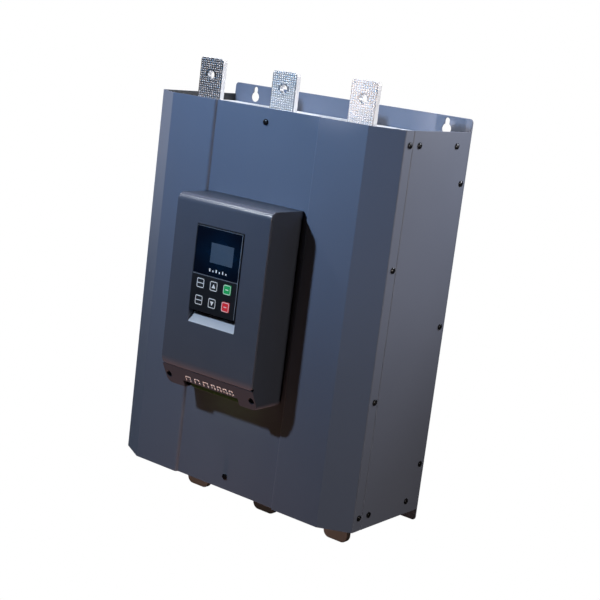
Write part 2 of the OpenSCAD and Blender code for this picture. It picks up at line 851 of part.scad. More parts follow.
// Frame of fan i: square rim, motor disc on four arms, bearing tube
module fan_frame(i) {
    color("dimgray") translate([phase_x(i), fan_y, fan_z]) difference() {
        union() {
            difference() {
                translate([-fan_w / 2, -fan_w / 2, 0]) cube([fan_w, fan_w, fan_t]);
                translate([0, 0, -eps]) cylinder(d = fan_bore_d, h = fan_t + 2 * eps);
            }
            cylinder(d = fan_hub_d, h = fan_base_t);
            for (a = [45, 135]) rotate(a)
                translate([-fan_bore_d / 2 - eps, -2, 0]) cube([fan_bore_d + 2 * eps, 4, fan_arm_t]);
            cylinder(d = fan_shaft_d + 6, h = fan_t * 0.6);
        }
        translate([0, 0, fan_base_t / 2])
            cylinder(d = fan_shaft_d + 2 * bearing_gap, h = fan_t);
        for (x = [-1, 1], y = [-1, 1])
            translate([x * fan_screw_set, y * fan_screw_set, -eps])
                cylinder(d = screw_hole_d, h = fan_t + 2 * eps);
    }
}

// Rotor of fan i: cup with slanted blades on a shaft
module fan_rotor(i) {
    cup_low = fan_base_t + fan_rotor_gap;
    cup_top = fan_t - 1;
    roof = 2;
    chord = 20;
    color("black") translate([phase_x(i), fan_y, fan_z]) {
        difference() {
            translate([0, 0, cup_low]) cylinder(d = fan_hub_d, h = cup_top - cup_low);
            translate([0, 0, cup_low - eps]) cylinder(d = fan_hub_d - 4, h = cup_top - roof - cup_low + eps);
        }
        translate([0, 0, fan_base_t / 2 + 0.3])
            cylinder(d = fan_shaft_d, h = cup_top - roof / 2 - fan_base_t / 2);
        intersection() {
            difference() {
                translate([0, 0, cup_low]) cylinder(d = fan_bore_d - 2 * blade_gap, h = cup_top - cup_low);
                translate([0, 0, cup_low - eps]) cylinder(d = fan_hub_d - 1, h = cup_top);
            }
            for (k = [0:blade_count - 1]) rotate(k * 360 / blade_count)
                translate([fan_bore_d / 4, 0, (cup_low + cup_top) / 2]) rotate([40, 0, 0])
                    cube([fan_bore_d / 2, chord, 1.5], center = true);
        }
    }
}

// Screws that hold the fans, driven up through the bottom panel
module fan_screws() {
    color("black") for (p = fan_screw_places())
        translate([p.x, p.y, -end_z]) rotate([180, 0, 0]) pan_screw(fan_screw_l);
}

// Bridge across the enclosure that carries the trigger board
module board_bridge() {
    mid = sheet_t / 2;
    end_x = inner_x - mid;
    color("silver") translate([0, 0, bridge_z]) linear_extrude(bridge_h, center = true)
        folded_section([
            [end_x, bridge_y + bridge_leg], [end_x, bridge_y + mid],
            [-end_x, bridge_y + mid], [-end_x, bridge_y + bridge_leg]
        ], sheet_t, fold_r);
}

// Spacers between the bridge and the trigger board
module board_spacers() {
    color("gold") for (x = [-1, 0, 1], z = [-1, 1])
        rod_y(x * (trigger_w / 2 - spacer_edge), bridge_z + z * (trigger_h / 2 - spacer_edge),
              spacer_d, trigger_y, bridge_y);
}

// Trigger board, and one pulse transformer on it for each thyristor
module trigger_board() {
    color("darkgreen")
        span([-trigger_w / 2, trigger_y - board_t, bridge_z - trigger_h / 2],
             [trigger_w / 2, trigger_y, bridge_z + trigger_h / 2]);
}
module pulse_transformers() {
    front = trigger_y - board_t;
    color("black") for (s = [-1, 1], k = [0:2]) {
        x = s * (trigger_w / 6 + k * trigger_w / 7);
        span([x - pulse_w / 2, front - pulse_d, bridge_z - pulse_w / 2],
             [x + pulse_w / 2, front, bridge_z + pulse_w / 2]);
    }
}

// Side outline of the control box in Y and Z, drawn in by inset at its front and top
module control_outline(inset) {
    front = control_front + inset;
    top = control_top - inset;
    roll = lid_roll_r - inset;
    slope_top = control_low + slope_h;
    difference() {
        union() {
            polygon([
                [recess_y, control_low], [front + slope_d, control_low], [front, slope_top],
                [front, top - roll], [front + roll, top], [recess_y, top]
            ]);
            translate([front + roll, top - roll]) circle(roll);
        }
        translate([0, slope_top]) knee_cut(front);
    }
}

// Sliver taken off the knee between the front and the sloped face, to round it
module knee_cut(front) {
    turn = atan2(slope_d, slope_h);
    run = slope_r * tan(turn / 2);
    difference() {
        polygon([
            [front - eps, -eps], [front - eps, run], [front, run],
            [front + run * sin(turn), -run * cos(turn)],
            [front + run * sin(turn) - eps, -run * cos(turn) - eps]
        ]);
        translate([front + slope_r, run]) circle(slope_r, $fn = 96);
    }
}

// Part of the side outline that the lid takes up, grown by gap
module lid_zone(gap) {
    translate([control_front - eps, lid_z - gap])
        square([lid_roll_r + eps + gap, control_top - lid_z + gap + eps]);
}

// Front view of the box above z, with its lower corners rounded by r
module control_face(z, r) {
    translate([0, (z + control_top) / 2]) round_rect(control_w, control_top - z, r);
    translate([-control_w / 2, control_z]) square([control_w, control_h / 2]);
}

// Base of the control box: side walls, back, sloped terminal face and posts
module control_base() {
    inner_w = control_w - 2 * control_wall;
    rim_w = inner_w - 2 * base_rim;
    color("darkslategray") difference() {
        union() {
            difference() {
                intersection() {
                    sideways(control_w) difference() {
                        control_outline(0);
                        difference() {
                            lid_zone(lid_gap);
                            control_outline(lid_t);
                        }
                    }
                    upright(recess_y, control_d + eps) control_face(control_low, base_corner_r);
                }
                sideways(inner_w) intersection() {
                    control_outline(lid_t + control_wall);
                    translate([control_front, control_low + control_wall])
                        square([control_d - control_wall, control_h]);
                }
                span([-rim_w / 2, control_front - eps, control_low + slope_h + base_rim],
                     [rim_w / 2, control_front + lid_roll_r, control_top - lid_roll_r - base_rim]);
            }
            intersection() {
                for (s = [-1, 1])
                    rod_y(s * fixing_x, control_low + fixing_z, fixing_boss_d, control_front, recess_y);
                sideways(control_w) difference() {
                    control_outline(0);
                    lid_zone(lid_gap);
                }
            }
            for (x = [-1, 1], z = [board_low + 2 * board_post_inset + fixing_z, board_top - board_post_inset])
                rod_y(x * (board_half_w - board_post_inset), z, board_post_d, board_y, recess_y - eps);
        }
        for (s = [-1, 1]) {
            rod_y(s * fixing_x, control_low + fixing_z, fixing_bore_d, control_front - eps, recess_y - fixing_seat);
            rod_y(s * fixing_x, control_low + fixing_z, screw_hole_d, control_front, recess_y + eps);
        }
        span([-wire_open_w / 2, control_front - eps, control_low - eps],
             [wire_open_w / 2, board_y, control_low + wire_open_h]);
        span([-cable_open_w / 2, recess_y - control_wall - eps, cable_z - cable_open_h / 2],
             [cable_open_w / 2, recess_y + eps, cable_z + cable_open_h / 2]);
    }
}

// Outline of the keypad's pocket in X and Z, with the finger notch, grown by extra
module pocket_outline(extra) {
    translate([-keypad_w / 2 - keypad_gap - extra, notch_low - extra])
        square([keypad_w + 2 * (keypad_gap + extra), keypad_h + notch_h + keypad_gap + 2 * extra]);
}

// Lid of the control box: a shell with a rolled top edge and the keypad's pocket
module control_lid() {
    floor_y = keypad_back;
    color("darkslategray") difference() {
        union() {
            intersection() {
                sideways(control_w) intersection() {
                    difference() {
                        control_outline(0);
                        control_outline(lid_t);
                    }
                    lid_zone(0);
                }
                upright(recess_y, control_d + eps) control_face(lid_z, lid_corner_r);
            }
            upright(floor_y + pocket_wall, floor_y + pocket_wall - control_front - lid_t / 2)
                pocket_outline(pocket_wall);
        }
        span([-keypad_w / 2 - keypad_gap, control_front - eps, keypad_low - keypad_gap],
             [keypad_w / 2 + keypad_gap, floor_y, keypad_low + keypad_h + keypad_gap]);
        sideways(keypad_w + 2 * keypad_gap) polygon([
            [control_front - eps, notch_low], [control_front, notch_low],
            [control_front + notch_d, keypad_low - notch_gap], [floor_y, keypad_low - notch_gap],
            [floor_y, keypad_low], [control_front - eps, keypad_low]
        ]);
    }
}

// Two screws at the bottom of deep bores that hold the control box to the cover
module control_screws() {
    color("black") for (s = [-1, 1])
        translate([s * fixing_x, recess_y - fixing_seat, control_low + fixing_z])
            rotate([90, 0, 0]) pan_screw(fixing_seat + sheet_t + 2);
}

// Main board on the base's posts
module main_board() {
    color("darkgreen") span([-board_half_w, board_front, board_low], [board_half_w, board_y, board_top]);
}

// Terminal block of n ways from x on, with screws to the front and wire holes below
module terminal_block(x, n, pitch) {
    front = board_front - terminal_d;
    color("seagreen") difference() {
        span([x, front, terminal_z], [x + n * pitch, board_front, terminal_z + terminal_h]);
        for (k = [0:n - 1]) translate([x + (k + 0.5) * pitch, 0, 0]) {
            rod_y(0, terminal_z + terminal_h / 2, terminal_screw_d + screw_clear,
                  front - eps, front + terminal_screw_depth);
            span([-wire_hole / 2, front + terminal_screw_depth + 3, terminal_z - eps],
                 [wire_hole / 2, front + terminal_screw_depth + 3 + wire_hole,
                  terminal_z + terminal_h / 2]);
        }
    }
}
module relay_terminals() {
    terminal_block(terminal_left, relay_count, relay_pitch);
}
module signal_terminals() {
    terminal_block(terminal_left + relay_w, signal_count, signal_pitch);
}

// Screws in the terminal blocks, a little below the surface
module terminal_screws() {
    front = board_front - terminal_d;
    places = concat(
        [for (k = [0:relay_count - 1]) terminal_left + (k + 0.5) * relay_pitch],
        [for (k = [0:signal_count - 1]) terminal_left + relay_w + (k + 0.5) * signal_pitch]
    );
    color("silver") for (x = places) difference() {
        rod_y(x, terminal_z + terminal_h / 2, terminal_screw_d, front + 0.5, front + terminal_screw_depth);
        span([x - terminal_screw_d, front, terminal_z + terminal_h / 2 - 0.3],
             [x + terminal_screw_d, front + 1.2, terminal_z + terminal_h / 2 + 0.3]);
    }
}

// Flat cable from the main board, through the cover, down to the trigger board
module signal_ribbon() {
    run_y = recess_inner_y + 3;
    color("lightgray") sideways(ribbon_w) folded_section([
        [board_y, cable_z], [run_y, cable_z], [run_y, bridge_z], [trigger_y - board_t, bridge_z]
    ], ribbon_t, 1);
}

// Frame of the keypad: a shallow box with a window seat, key holes and board posts
module keypad_frame() {
    color("darkslategray") difference() {
        union() {
            difference() {
                upright(keypad_back, keypad_d)
                    translate([0, keypad_z]) square([keypad_w, keypad_h], center = true);
                upright(keypad_back + eps, keypad_d - keypad_face + eps)
                    translate([0, keypad_z])
                        square([keypad_w - 2 * keypad_wall, keypad_h - 2 * keypad_wall], center = true);
            }
            for (p = pad_boss_places())
                rod_y(p.x, p.y, pad_boss_d, keypad_front + keypad_face - eps, pad_board_front);
        }
        upright(keypad_front + window_t, window_t + eps)
            translate([0, window_z]) square([window_w, window_h], center = true);
        upright(keypad_front + keypad_face + eps, keypad_face + 2 * eps)
            translate([0, keypad_z + lcd_z])
                square([lcd_w + window_view, lcd_h + window_view], center = true);
        for (p = key_places())
            span([p.x - key_w / 2 - key_gap, keypad_front - eps, p.y - key_h / 2 - key_gap],
                 [p.x + key_w / 2 + key_gap, keypad_front + keypad_face + eps, p.y + key_h / 2 + key_gap]);
    }
}

// Places in X and Z of the keypad's board posts, and of the keys by row from the top left
function pad_boss_places() = [for (s = [-1, 1], t = [-1, 1])
    [s * (keypad_w / 2 - keypad_wall - pad_boss_d / 2),
     keypad_z + t * (keypad_h / 2 - keypad_wall - pad_boss_d / 2)]];
function key_place(column, row) = [(column - 1) * key_pitch_x, key_z + (0.5 - row) * key_pitch_z];
function key_places() = [for (row = [0, 1], column = [0:2]) key_place(column, row)];

// Tinted display window, set into the keypad's face
module display_window() {
    color("midnightblue") upright(keypad_front + window_t, window_t)
        translate([0, window_z]) square([window_w, window_h], center = true);
}

// Display on the keypad's board, behind the window
module lcd_module() {
    color("lightsteelblue") upright(pad_board_front, lcd_t)
        translate([0, keypad_z + lcd_z]) square([lcd_w, lcd_h], center = true);
}

// Circuit board of the keypad, against its posts
module keypad_board() {
    edge = 2 * (keypad_wall + pad_board_clear);
    color("darkgreen") upright(pad_board_front + board_t, board_t)
        translate([0, keypad_z]) square([keypad_w - edge, keypad_h - edge], center = true);
}

// Key with a lip behind the keypad's face and a stem towards the board
module key(column, row, tint) {
    p = key_place(column, row);
    lip_y = keypad_front + keypad_face + key_seat_gap;
    stem_end = pad_board_front - key_travel - key_stem_gap;
    color(tint) {
        span([p.x - key_w / 2, keypad_front - key_proud, p.y - key_h / 2],
             [p.x + key_w / 2, lip_y + eps, p.y + key_h / 2]);
        span([p.x - key_w / 2 - key_flange_lip, lip_y, p.y - key_h / 2 - key_flange_lip],
             [p.x + key_w / 2 + key_flange_lip, lip_y + key_flange_t, p.y + key_h / 2 + key_flange_lip]);
        rod_y(p.x, p.y, key_stem_d, lip_y, stem_end);
    }
}

back_plate();
side_rails();
left_side_panel();
right_side_panel();
top_panel();
bottom_panel();
front_cover();
left_panel_screws();
right_panel_screws();
cover_screws();
line_bar(1);  // line_bar_1
line_bar(2);  // line_bar_2
line_bar(3);  // line_bar_3
load_bar(1);  // load_bar_1
load_bar(2);  // load_bar_2
load_bar(3);  // load_bar_3
front_sink(1);  // front_sink_1
front_sink(2);  // front_sink_2
front_sink(3);  // front_sink_3
rear_sink(1);  // rear_sink_1
rear_sink(2);  // rear_sink_2
rear_sink(3);  // rear_sink_3
thyristor_discs();
stack_bolts();
stack_posts();
weld_studs();
post_nuts();
bar_bolts();
current_transformer(1);  // current_transformer_1
current_transformer(2);  // current_transformer_2
current_transformer(3);  // current_transformer_3
fan_frame(1);  // fan_frame_1
fan_frame(2);  // fan_frame_2
fan_frame(3);  // fan_frame_3
fan_rotor(1);  // fan_rotor_1
fan_rotor(2);  // fan_rotor_2
fan_rotor(3);  // fan_rotor_3
fan_screws();
board_bridge();
board_spacers();
trigger_board();
pulse_transformers();
control_base();
control_lid();
control_screws();
main_board();
relay_terminals();
signal_terminals();
terminal_screws();
signal_ribbon();
keypad_frame();
display_window();
lcd_module();
keypad_board();
key(0, 0, "black");  // key_menu
key(1, 0, "black");  // key_up
key(2, 0, "green");  // key_start
key(0, 1, "black");  // key_back
key(1, 1, "black");  // key_down
key(2, 1, "red");  // key_stop
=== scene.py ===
# A wall-mounted motor soft starter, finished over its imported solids: painted sheet, tinned
# bars, moulded control box and keypad. Metres, in the frame of the solids.
import math

import bpy
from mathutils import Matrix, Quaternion, Vector, noise


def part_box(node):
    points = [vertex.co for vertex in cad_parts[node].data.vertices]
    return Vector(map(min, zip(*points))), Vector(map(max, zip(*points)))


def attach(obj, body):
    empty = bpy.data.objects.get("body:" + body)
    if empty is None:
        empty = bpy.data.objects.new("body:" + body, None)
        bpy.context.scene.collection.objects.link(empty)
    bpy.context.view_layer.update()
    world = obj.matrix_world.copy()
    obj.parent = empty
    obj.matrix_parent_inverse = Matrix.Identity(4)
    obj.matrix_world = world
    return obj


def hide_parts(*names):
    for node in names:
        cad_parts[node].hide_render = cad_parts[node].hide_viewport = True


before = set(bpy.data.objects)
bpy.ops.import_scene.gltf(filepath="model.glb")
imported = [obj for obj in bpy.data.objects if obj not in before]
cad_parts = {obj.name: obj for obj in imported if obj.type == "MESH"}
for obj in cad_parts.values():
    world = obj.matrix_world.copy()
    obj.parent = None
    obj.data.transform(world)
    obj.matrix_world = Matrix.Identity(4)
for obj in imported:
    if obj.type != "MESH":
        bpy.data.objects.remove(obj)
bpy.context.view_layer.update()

MM = 0.001

# Back plate: one laser-cut steel sheet with two keyholes and two round holes, deburred and
# powder coated slate blue. It goes on the wall first, and everything else is fixed to it.


class Wire:
    """An output of a finish's nodes. Arithmetic on it adds Math nodes."""

    def __init__(self, finish, socket):
        self.finish = finish
        self.socket = socket

    def math(self, operation, *values):
        return self.finish.node("Math", {"operation": operation}, dict(enumerate(values)))

    def __add__(self, other):
        return self.math("ADD", self, other)

    def __sub__(self, other):
        return self.math("SUBTRACT", self, other)

    def __rsub__(self, other):
        return self.math("SUBTRACT", other, self)

    def __mul__(self, other):
        return self.math("MULTIPLY", self, other)

    def __lt__(self, other):
        return self.math("LESS_THAN", self, other)

    def __gt__(self, other):
        return self.math("GREATER_THAN", self, other)

    def __abs__(self):
        return self.math("ABSOLUTE", self)

    __radd__ = __add__


class Finish:
    """A material: one Principled shader with set values, and nodes that vary some of them."""

    def __init__(self, name, **values):
        self.material = bpy.data.materials.new(name)
        self.material.use_nodes = True
        self.tree = self.material.node_tree
        self.shader = self.tree.nodes["Principled BSDF"]
        self.feed(self.shader, {key.replace("_", " "): value for key, value in values.items()})
        self.place = self.node("TexCoord", out="Object")

    def feed(self, node, values):
        for key, value in values.items():
            if isinstance(value, Wire):
                self.tree.links.new(value.socket, node.inputs[key])
            else:
                node.inputs[key].default_value = value

    def node(self, kind, settings={}, values={}, out=0):
        made = self.tree.nodes.new("ShaderNode" + kind)
        for key, value in settings.items():
            setattr(made, key, value)
        self.feed(made, values)
        return Wire(self, made.outputs[out])

    def noise(self, scale, detail=2.0, stretch=None):
        place = self.place
        if stretch:
            place = self.node("Mapping", values={"Vector": place, "Scale": stretch})
        return self.node("TexNoise", values={"Vector": place, "Scale": scale, "Detail": detail})

    def bricks(self, scale, offset, brick, joint):
        """Rows of bricks on an upright face, with their joints."""
        turn = {"Vector": self.place, "Rotation": (math.radians(90), 0, 0)}
        return self.node("TexBrick", {"offset": offset}, {
            "Vector": self.node("Mapping", values=turn), "Scale": scale, "Mortar Size": joint,
            "Brick Width": brick[0], "Row Height": brick[1],
        }, out="Fac")

    def mix(self, share, first, second):
        values = {0: share, 6: colour(first), 7: colour(second)}
        return self.node("Mix", {"data_type": "RGBA"}, values, out=2)

    def bump(self, height, depth, strength=1.0):
        return self.node("Bump", values={"Height": height, "Distance": depth, "Strength": strength})

    def wear(self, **values):
        self.feed(self.shader, {key.replace("_", " "): value for key, value in values.items()})
        return self.material


def colour(value):
    """A colour for a socket: a wire as it is, or three numbers with full opacity."""
    return value if isinstance(value, Wire) else (*value, 1.0)


def powder_coat(name, low, high):
    """Sprayed and baked powder: faint clouds of shade, fine orange peel."""
    coat = Finish(name)
    cloud = coat.noise(7.0, 3.0)
    peel = coat.noise(1100.0, 2.0)
    return coat.wear(
        Base_Color=coat.mix(cloud, low, high),
        Roughness=0.40 + cloud * 0.12,
        Normal=coat.bump(peel, 0.03 * MM, 0.5),
    )


SMOOTH_ANGLE = math.radians(38)
SHARP_ANGLE = math.radians(40)
FLAT_ANGLE = math.radians(0.5)
WELD_REACH = 0.002 * MM


def select_only(piece):
    """Makes a piece the only selected one and the active one."""
    bpy.ops.object.select_all(action="DESELECT")
    piece.select_set(True)
    bpy.context.view_layer.objects.active = piece


def apply_modifier(piece, kind, **settings):
    """Adds a modifier to a piece and applies it."""
    select_only(piece)
    modifier = piece.modifiers.new(kind.lower(), kind)
    for key, value in settings.items():
        setattr(modifier, key, value)
    bpy.ops.object.modifier_apply(modifier=modifier.name)


def smooth(piece):
    """Smooth shading over rounded edges, with the flat faces kept flat."""
    select_only(piece)
    bpy.ops.object.shade_smooth_by_angle(angle=SMOOTH_ANGLE)
    apply_modifier(piece, "WEIGHTED_NORMAL", keep_sharp=True)


def solid_copy(node, name):
    """A solid's mesh as a new piece, with its triangles joined into whole faces."""
    piece = bpy.data.objects.new(name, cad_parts[node].data.copy())
    bpy.context.collection.objects.link(piece)
    piece.data.materials.clear()
    select_only(piece)
    bpy.ops.mesh.customdata_custom_splitnormals_clear()
    bpy.ops.object.mode_set(mode="EDIT")
    bpy.ops.mesh.select_all(action="SELECT")
    bpy.ops.mesh.remove_doubles(threshold=WELD_REACH)
    bpy.ops.mesh.dissolve_limited(angle_limit=FLAT_ANGLE)
    bpy.ops.object.mode_set(mode="OBJECT")
    return piece


def round_edges(piece, edge, segments=2):
    """Rounds a piece's sharp edges."""
    apply_modifier(piece, "BEVEL", limit_method="ANGLE", angle_limit=SHARP_ANGLE, width=edge,
                   segments=segments, use_clamp_overlap=False, loop_slide=False)
    smooth(piece)
    return piece


def rounded_copy(node, name, edge, segments=2):
    """A solid's mesh as a new piece, with its sharp edges rounded."""
    return round_edges(solid_copy(node, name), edge, segments)


def fit(piece, node, body, slot, *materials):
    """Puts a finished piece in the place of its solid."""
    for material in materials:
        piece.data.materials.append(material)
    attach(piece, body)
    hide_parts(node)
    return piece


def paint_solid(material, *names):
    """Gives solids that keep their own shape their finish."""
    for name in names:
        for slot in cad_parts[name].material_slots:
            slot.material = material


SHEET_EDGE = 0.35 * MM
slate = powder_coat("slate_powder_coat", (0.150, 0.170, 0.228), (0.172, 0.193, 0.256))
fit(rounded_copy("back_plate", "painted_back_plate", SHEET_EDGE), "back_plate",
    "enclosure", "slate_paint", slate)

# Side rails: two steel angles, spot welded to the back plate and painted with it. The side
# panels are screwed to them.
paint_solid(slate, "side_rails")

# Studs, posts and nuts: weld studs on the plate, round red insulators of glass-filled
# polyester screwed onto them, and zinc-plated nuts that hold the live heat sinks.


def plated_steel(name, low, high, rough):
    """Bright zinc plating with faint clouds and fine turning marks."""
    plating = Finish(name, Metallic=1.0)
    cloud = plating.noise(220.0, 3.0)
    marks = plating.noise(60.0, 2.0, stretch=(1.0, 40.0, 1.0))
    return plating.wear(
        Base_Color=plating.mix(cloud, low, high),
        Roughness=rough + marks * 0.18,
        Normal=plating.bump(marks, 0.02 * MM, 0.4),
    )


def polyester(name, low, high):
    """Moulded thermoset with short glass fibres showing as flecks."""
    mould = Finish(name)
    fleck = mould.noise(420.0, 4.0, stretch=(1.0, 0.3, 1.0))
    return mould.wear(
        Base_Color=mould.mix(fleck, low, high),
        Roughness=0.38 + fleck * 0.2,
        Normal=mould.bump(fleck, 0.05 * MM, 0.4),
    )


zinc_steel = plated_steel("zinc_plated_steel", (0.50, 0.51, 0.53), (0.66, 0.67, 0.68), 0.26)
paint_solid(zinc_steel, "weld_studs", "post_nuts")
paint_solid(polyester("red_polyester", (0.33, 0.045, 0.03), (0.46, 0.08, 0.05)), "stack_posts")

# Thyristor stacks: extruded aluminium heat sinks front and rear of each phase, two white
# ceramic disc thyristors between them, and steel clamp bolts that press the stack together.


def extrusion(name, low, high):
    """Mill-finish aluminium with die lines along its length."""
    metal = Finish(name, Metallic=1.0)
    lines = metal.noise(9.0, 4.0, stretch=(90.0, 90.0, 1.0))
    return metal.wear(
        Base_Color=metal.mix(lines, low, high),
        Roughness=0.30 + lines * 0.2,
        Normal=metal.bump(lines, 0.05 * MM, 0.5),
    )


def glazed_ceramic(name, low, high):
    """Glazed alumina with faint crazing."""
    glaze = Finish(name, Coat_Roughness=0.08)
    cloud = glaze.noise(90.0, 3.0)
    return glaze.wear(
        Base_Color=glaze.mix(cloud, low, high),
        Roughness=0.22 + cloud * 0.1,
        Coat_Weight=0.4 + cloud * 0.3,
    )


aluminium = extrusion("extruded_aluminium", (0.66, 0.67, 0.69), (0.80, 0.81, 0.82))
for phase in (1, 2, 3):
    paint_solid(aluminium, f"front_sink_{phase}", f"rear_sink_{phase}")
paint_solid(glazed_ceramic("white_ceramic", (0.72, 0.67, 0.58), (0.82, 0.78, 0.70)),
            "thyristor_discs")
paint_solid(zinc_steel, "stack_bolts", "bar_bolts")

# Load bars: flat copper bars, tin plated, with round corners and one cable hole. They are
# bolted to the rear heat sinks and come out at the bottom.


def tinned_copper(name, low, high, metallic):
    """Dull tin plating with handling marks and fine scratches along the bar."""
    tin = Finish(name, Metallic=metallic)
    cloud = tin.noise(55.0, 4.0)
    scratch = tin.noise(40.0, 4.0, stretch=(12.0, 12.0, 0.6))
    return tin.wear(
        Base_Color=tin.mix(cloud, low, high),
        Roughness=0.22 + cloud * 0.16 + scratch * 0.12,
        Normal=tin.bump(scratch, 0.03 * MM, 0.6),
    )


# The load bars' tin is tinted warm brown as a painted warm reflection; the middle bar takes a
# darker copy of it as painted shade.
warm_reflection_tin = tinned_copper("warm_reflection_tin", (0.56, 0.47, 0.43), (0.86, 0.75, 0.70), 1.0)
shaded_tin = tinned_copper("shaded_tin", (0.16, 0.15, 0.145), (0.27, 0.26, 0.25), 1.0)
BAR_EDGE = 0.9 * MM
for phase, tin in ((1, warm_reflection_tin), (2, shaded_tin), (3, warm_reflection_tin)):
    bar = rounded_copy(f"load_bar_{phase}", f"tinned_load_bar_{phase}", BAR_EDGE, segments=3)
    fit(bar, f"load_bar_{phase}", "enclosure", "tinned_copper", tin)

# Line bars: the same bars with sharper corners, bolted to the front heat sinks. Their contact
# ends are pressed with a pyramid knurl on both faces, crushed in places by earlier lugs.
KNURL_ROW = 2.9 * MM
KNURL_COLUMN = 3.4 * MM
KNURL_HEIGHT = 0.8 * MM
KNURL_ROWS = 19
KNURL_COLUMNS = 11
KNURL_SET = 1.4 * MM
KNURL_ROOT = 0.3 * MM
TIP_WORN = 0.85
TIP_LEAST = 0.25
CRUSH_SCALE = 90.0
CRUSH_START = Vector((3.1, 0.0, 1.7))
HOLE_CLEAR = 7.2 * MM
HOLE_DROP = 22.5 * MM
BAR_MIDDLE = -139.5 * MM
BAR_HALF = 4 * MM
SQUARE_ON = 0.9


def select_faces(piece, wanted):
    """Opens a piece for editing with the faces selected that pass the test."""
    select_only(piece)
    bpy.ops.object.mode_set(mode="EDIT")
    bpy.ops.mesh.select_mode(type="FACE")
    bpy.ops.mesh.select_all(action="DESELECT")
    bpy.ops.object.mode_set(mode="OBJECT")
    for face in piece.data.polygons:
        face.select = wanted(face)
    bpy.ops.object.mode_set(mode="EDIT")


def thicken(piece, rise):
    """Draws a flat piece out into a closed one, and leaves its drawn faces selected."""
    select_only(piece)
    bpy.ops.object.mode_set(mode="EDIT")
    bpy.ops.mesh.select_all(action="SELECT")
    bpy.ops.mesh.extrude_region_move(TRANSFORM_OT_translate={"value": rise})


def close_up(piece):
    """Turns all faces of a piece in editing outwards and ends the editing."""
    bpy.ops.mesh.select_all(action="SELECT")
    bpy.ops.mesh.normals_make_consistent(inside=False)
    bpy.ops.object.mode_set(mode="OBJECT")
    return piece


def knurl_pad(name, middle, hole, facing, wear):
    """A field of pressed pyramids on one face of a bar, open around the cable hole."""
    out = Vector((0, -facing * KNURL_ROOT, 0))
    bpy.ops.object.select_all(action="DESELECT")
    bpy.ops.mesh.primitive_grid_add(
        x_subdivisions=KNURL_COLUMNS, y_subdivisions=KNURL_ROWS, size=1)
    pad = bpy.context.object
    pad.name = name
    pad.scale = (KNURL_COLUMNS * KNURL_COLUMN, KNURL_ROWS * KNURL_ROW, 1)
    pad.rotation_euler = (facing * math.radians(90), 0, 0)
    pad.location = middle - out
    bpy.ops.object.transform_apply(location=True, rotation=True, scale=True)
    select_faces(pad, lambda face: (face.center - hole).length < HOLE_CLEAR)
    bpy.ops.mesh.delete(type="FACE")
    bpy.ops.object.mode_set(mode="OBJECT")
    thicken(pad, out)
    bpy.ops.mesh.poke(offset=KNURL_HEIGHT)
    close_up(pad)
    for corner in pad.data.vertices:
        rise = corner.co.y - middle.y
        if abs(rise) > KNURL_HEIGHT / 2:
            crush = wear * noise.noise(corner.co * CRUSH_SCALE + CRUSH_START)
            corner.co.y = middle.y + rise * min(1.0, max(TIP_LEAST, TIP_WORN - crush))
    return pad


def join(piece, parts):
    """Joins parts into a piece."""
    select_only(piece)
    for part in parts:
        part.select_set(True)
    bpy.ops.object.join()


def knurled_tin(name, valley, tip, sharp, metallic):
    """Tin plating pressed into pyramids, darker in the valleys and bright on the tips: painted
    shade and painted highlight.
    """
    tin = Finish(name, Metallic=metallic)
    depth = tin.node("SeparateXYZ", values={0: tin.place}, out="Y")
    rise = abs(depth - BAR_MIDDLE) - BAR_HALF
    height = tin.node("Clamp", values={0: rise * (1 / KNURL_HEIGHT)})
    cloud = tin.noise(60.0, 4.0)
    return tin.wear(
        Base_Color=tin.mix(height.math("POWER", height, sharp), valley, tip),
        Roughness=0.40 + cloud * 0.25,
        Normal=tin.bump(cloud, 0.1 * MM, 0.4),
    )


bright_tin = tinned_copper("bright_tin", (0.70, 0.69, 0.69), (0.82, 0.81, 0.81), 0.3)
# The three line bars take copies of one tin at different brightness: the first darkest, as painted
# shade, the third brightest, as painted light.
shaded_knurl_tin = knurled_tin("shaded_knurl_tin", (0.06, 0.052, 0.05), (1.0, 0.88, 0.82), 1.4, 1.0)
half_lit_knurl_tin = knurled_tin("half_lit_knurl_tin", (0.24, 0.22, 0.21), (1.0, 0.91, 0.84), 0.45, 0.65)
lit_knurl_tin = knurled_tin("lit_knurl_tin", (0.42, 0.35, 0.31), (1.0, 0.90, 0.82), 0.35, 0.2)
for phase, plating, wear in ((1, shaded_knurl_tin, 0.2), (2, half_lit_knurl_tin, 0.5), (3, lit_knurl_tin, 0.8)):
    node = f"line_bar_{phase}"
    low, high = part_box(node)
    centre_x = (low.x + high.x) / 2
    bar = rounded_copy(node, f"knurled_line_bar_{phase}", BAR_EDGE, segments=3)
    pads = []
    for facing, face_y in ((1, low.y), (-1, high.y)):
        middle = Vector((centre_x, face_y, high.z - KNURL_SET - KNURL_ROWS * KNURL_ROW / 2))
        hole = Vector((centre_x, face_y, high.z - HOLE_DROP))
        pads.append(knurl_pad("knurl", middle, hole, facing, wear))
    bar.data.materials.append(bright_tin)
    bar.data.materials.append(plating)
    for face in bar.data.polygons:
        face.material_index = int(abs(face.normal.y) > SQUARE_ON)
    for pad in pads:
        pad.data.materials.append(plating)
    join(bar, pads)
    fit(bar, node, "enclosure", "tinned_copper")

# Current transformers: rings of core and winding, cast into black cases with resin. One is
# slipped over each load bar below its heat sink.


def potted_case(name, low, high):
    """Moulded case with a slightly wavy fill of casting resin."""
    case = Finish(name)
    swirl = case.noise(45.0, 3.0)
    return case.wear(
        Base_Color=case.mix(swirl, low, high),
        Roughness=0.28 + swirl * 0.14,
        Normal=case.bump(swirl, 0.2 * MM, 0.3),
    )


case_black = potted_case("potting_black", (0.016, 0.016, 0.018), (0.032, 0.032, 0.036))
for phase in (1, 2, 3):
    paint_solid(case_black, f"current_transformer_{phase}")

# Bottom panel and fans: a painted sheet with slots, and three axial fans screwed to it that
# blow air up through the heat sinks. Frames and rotors are moulded in black.


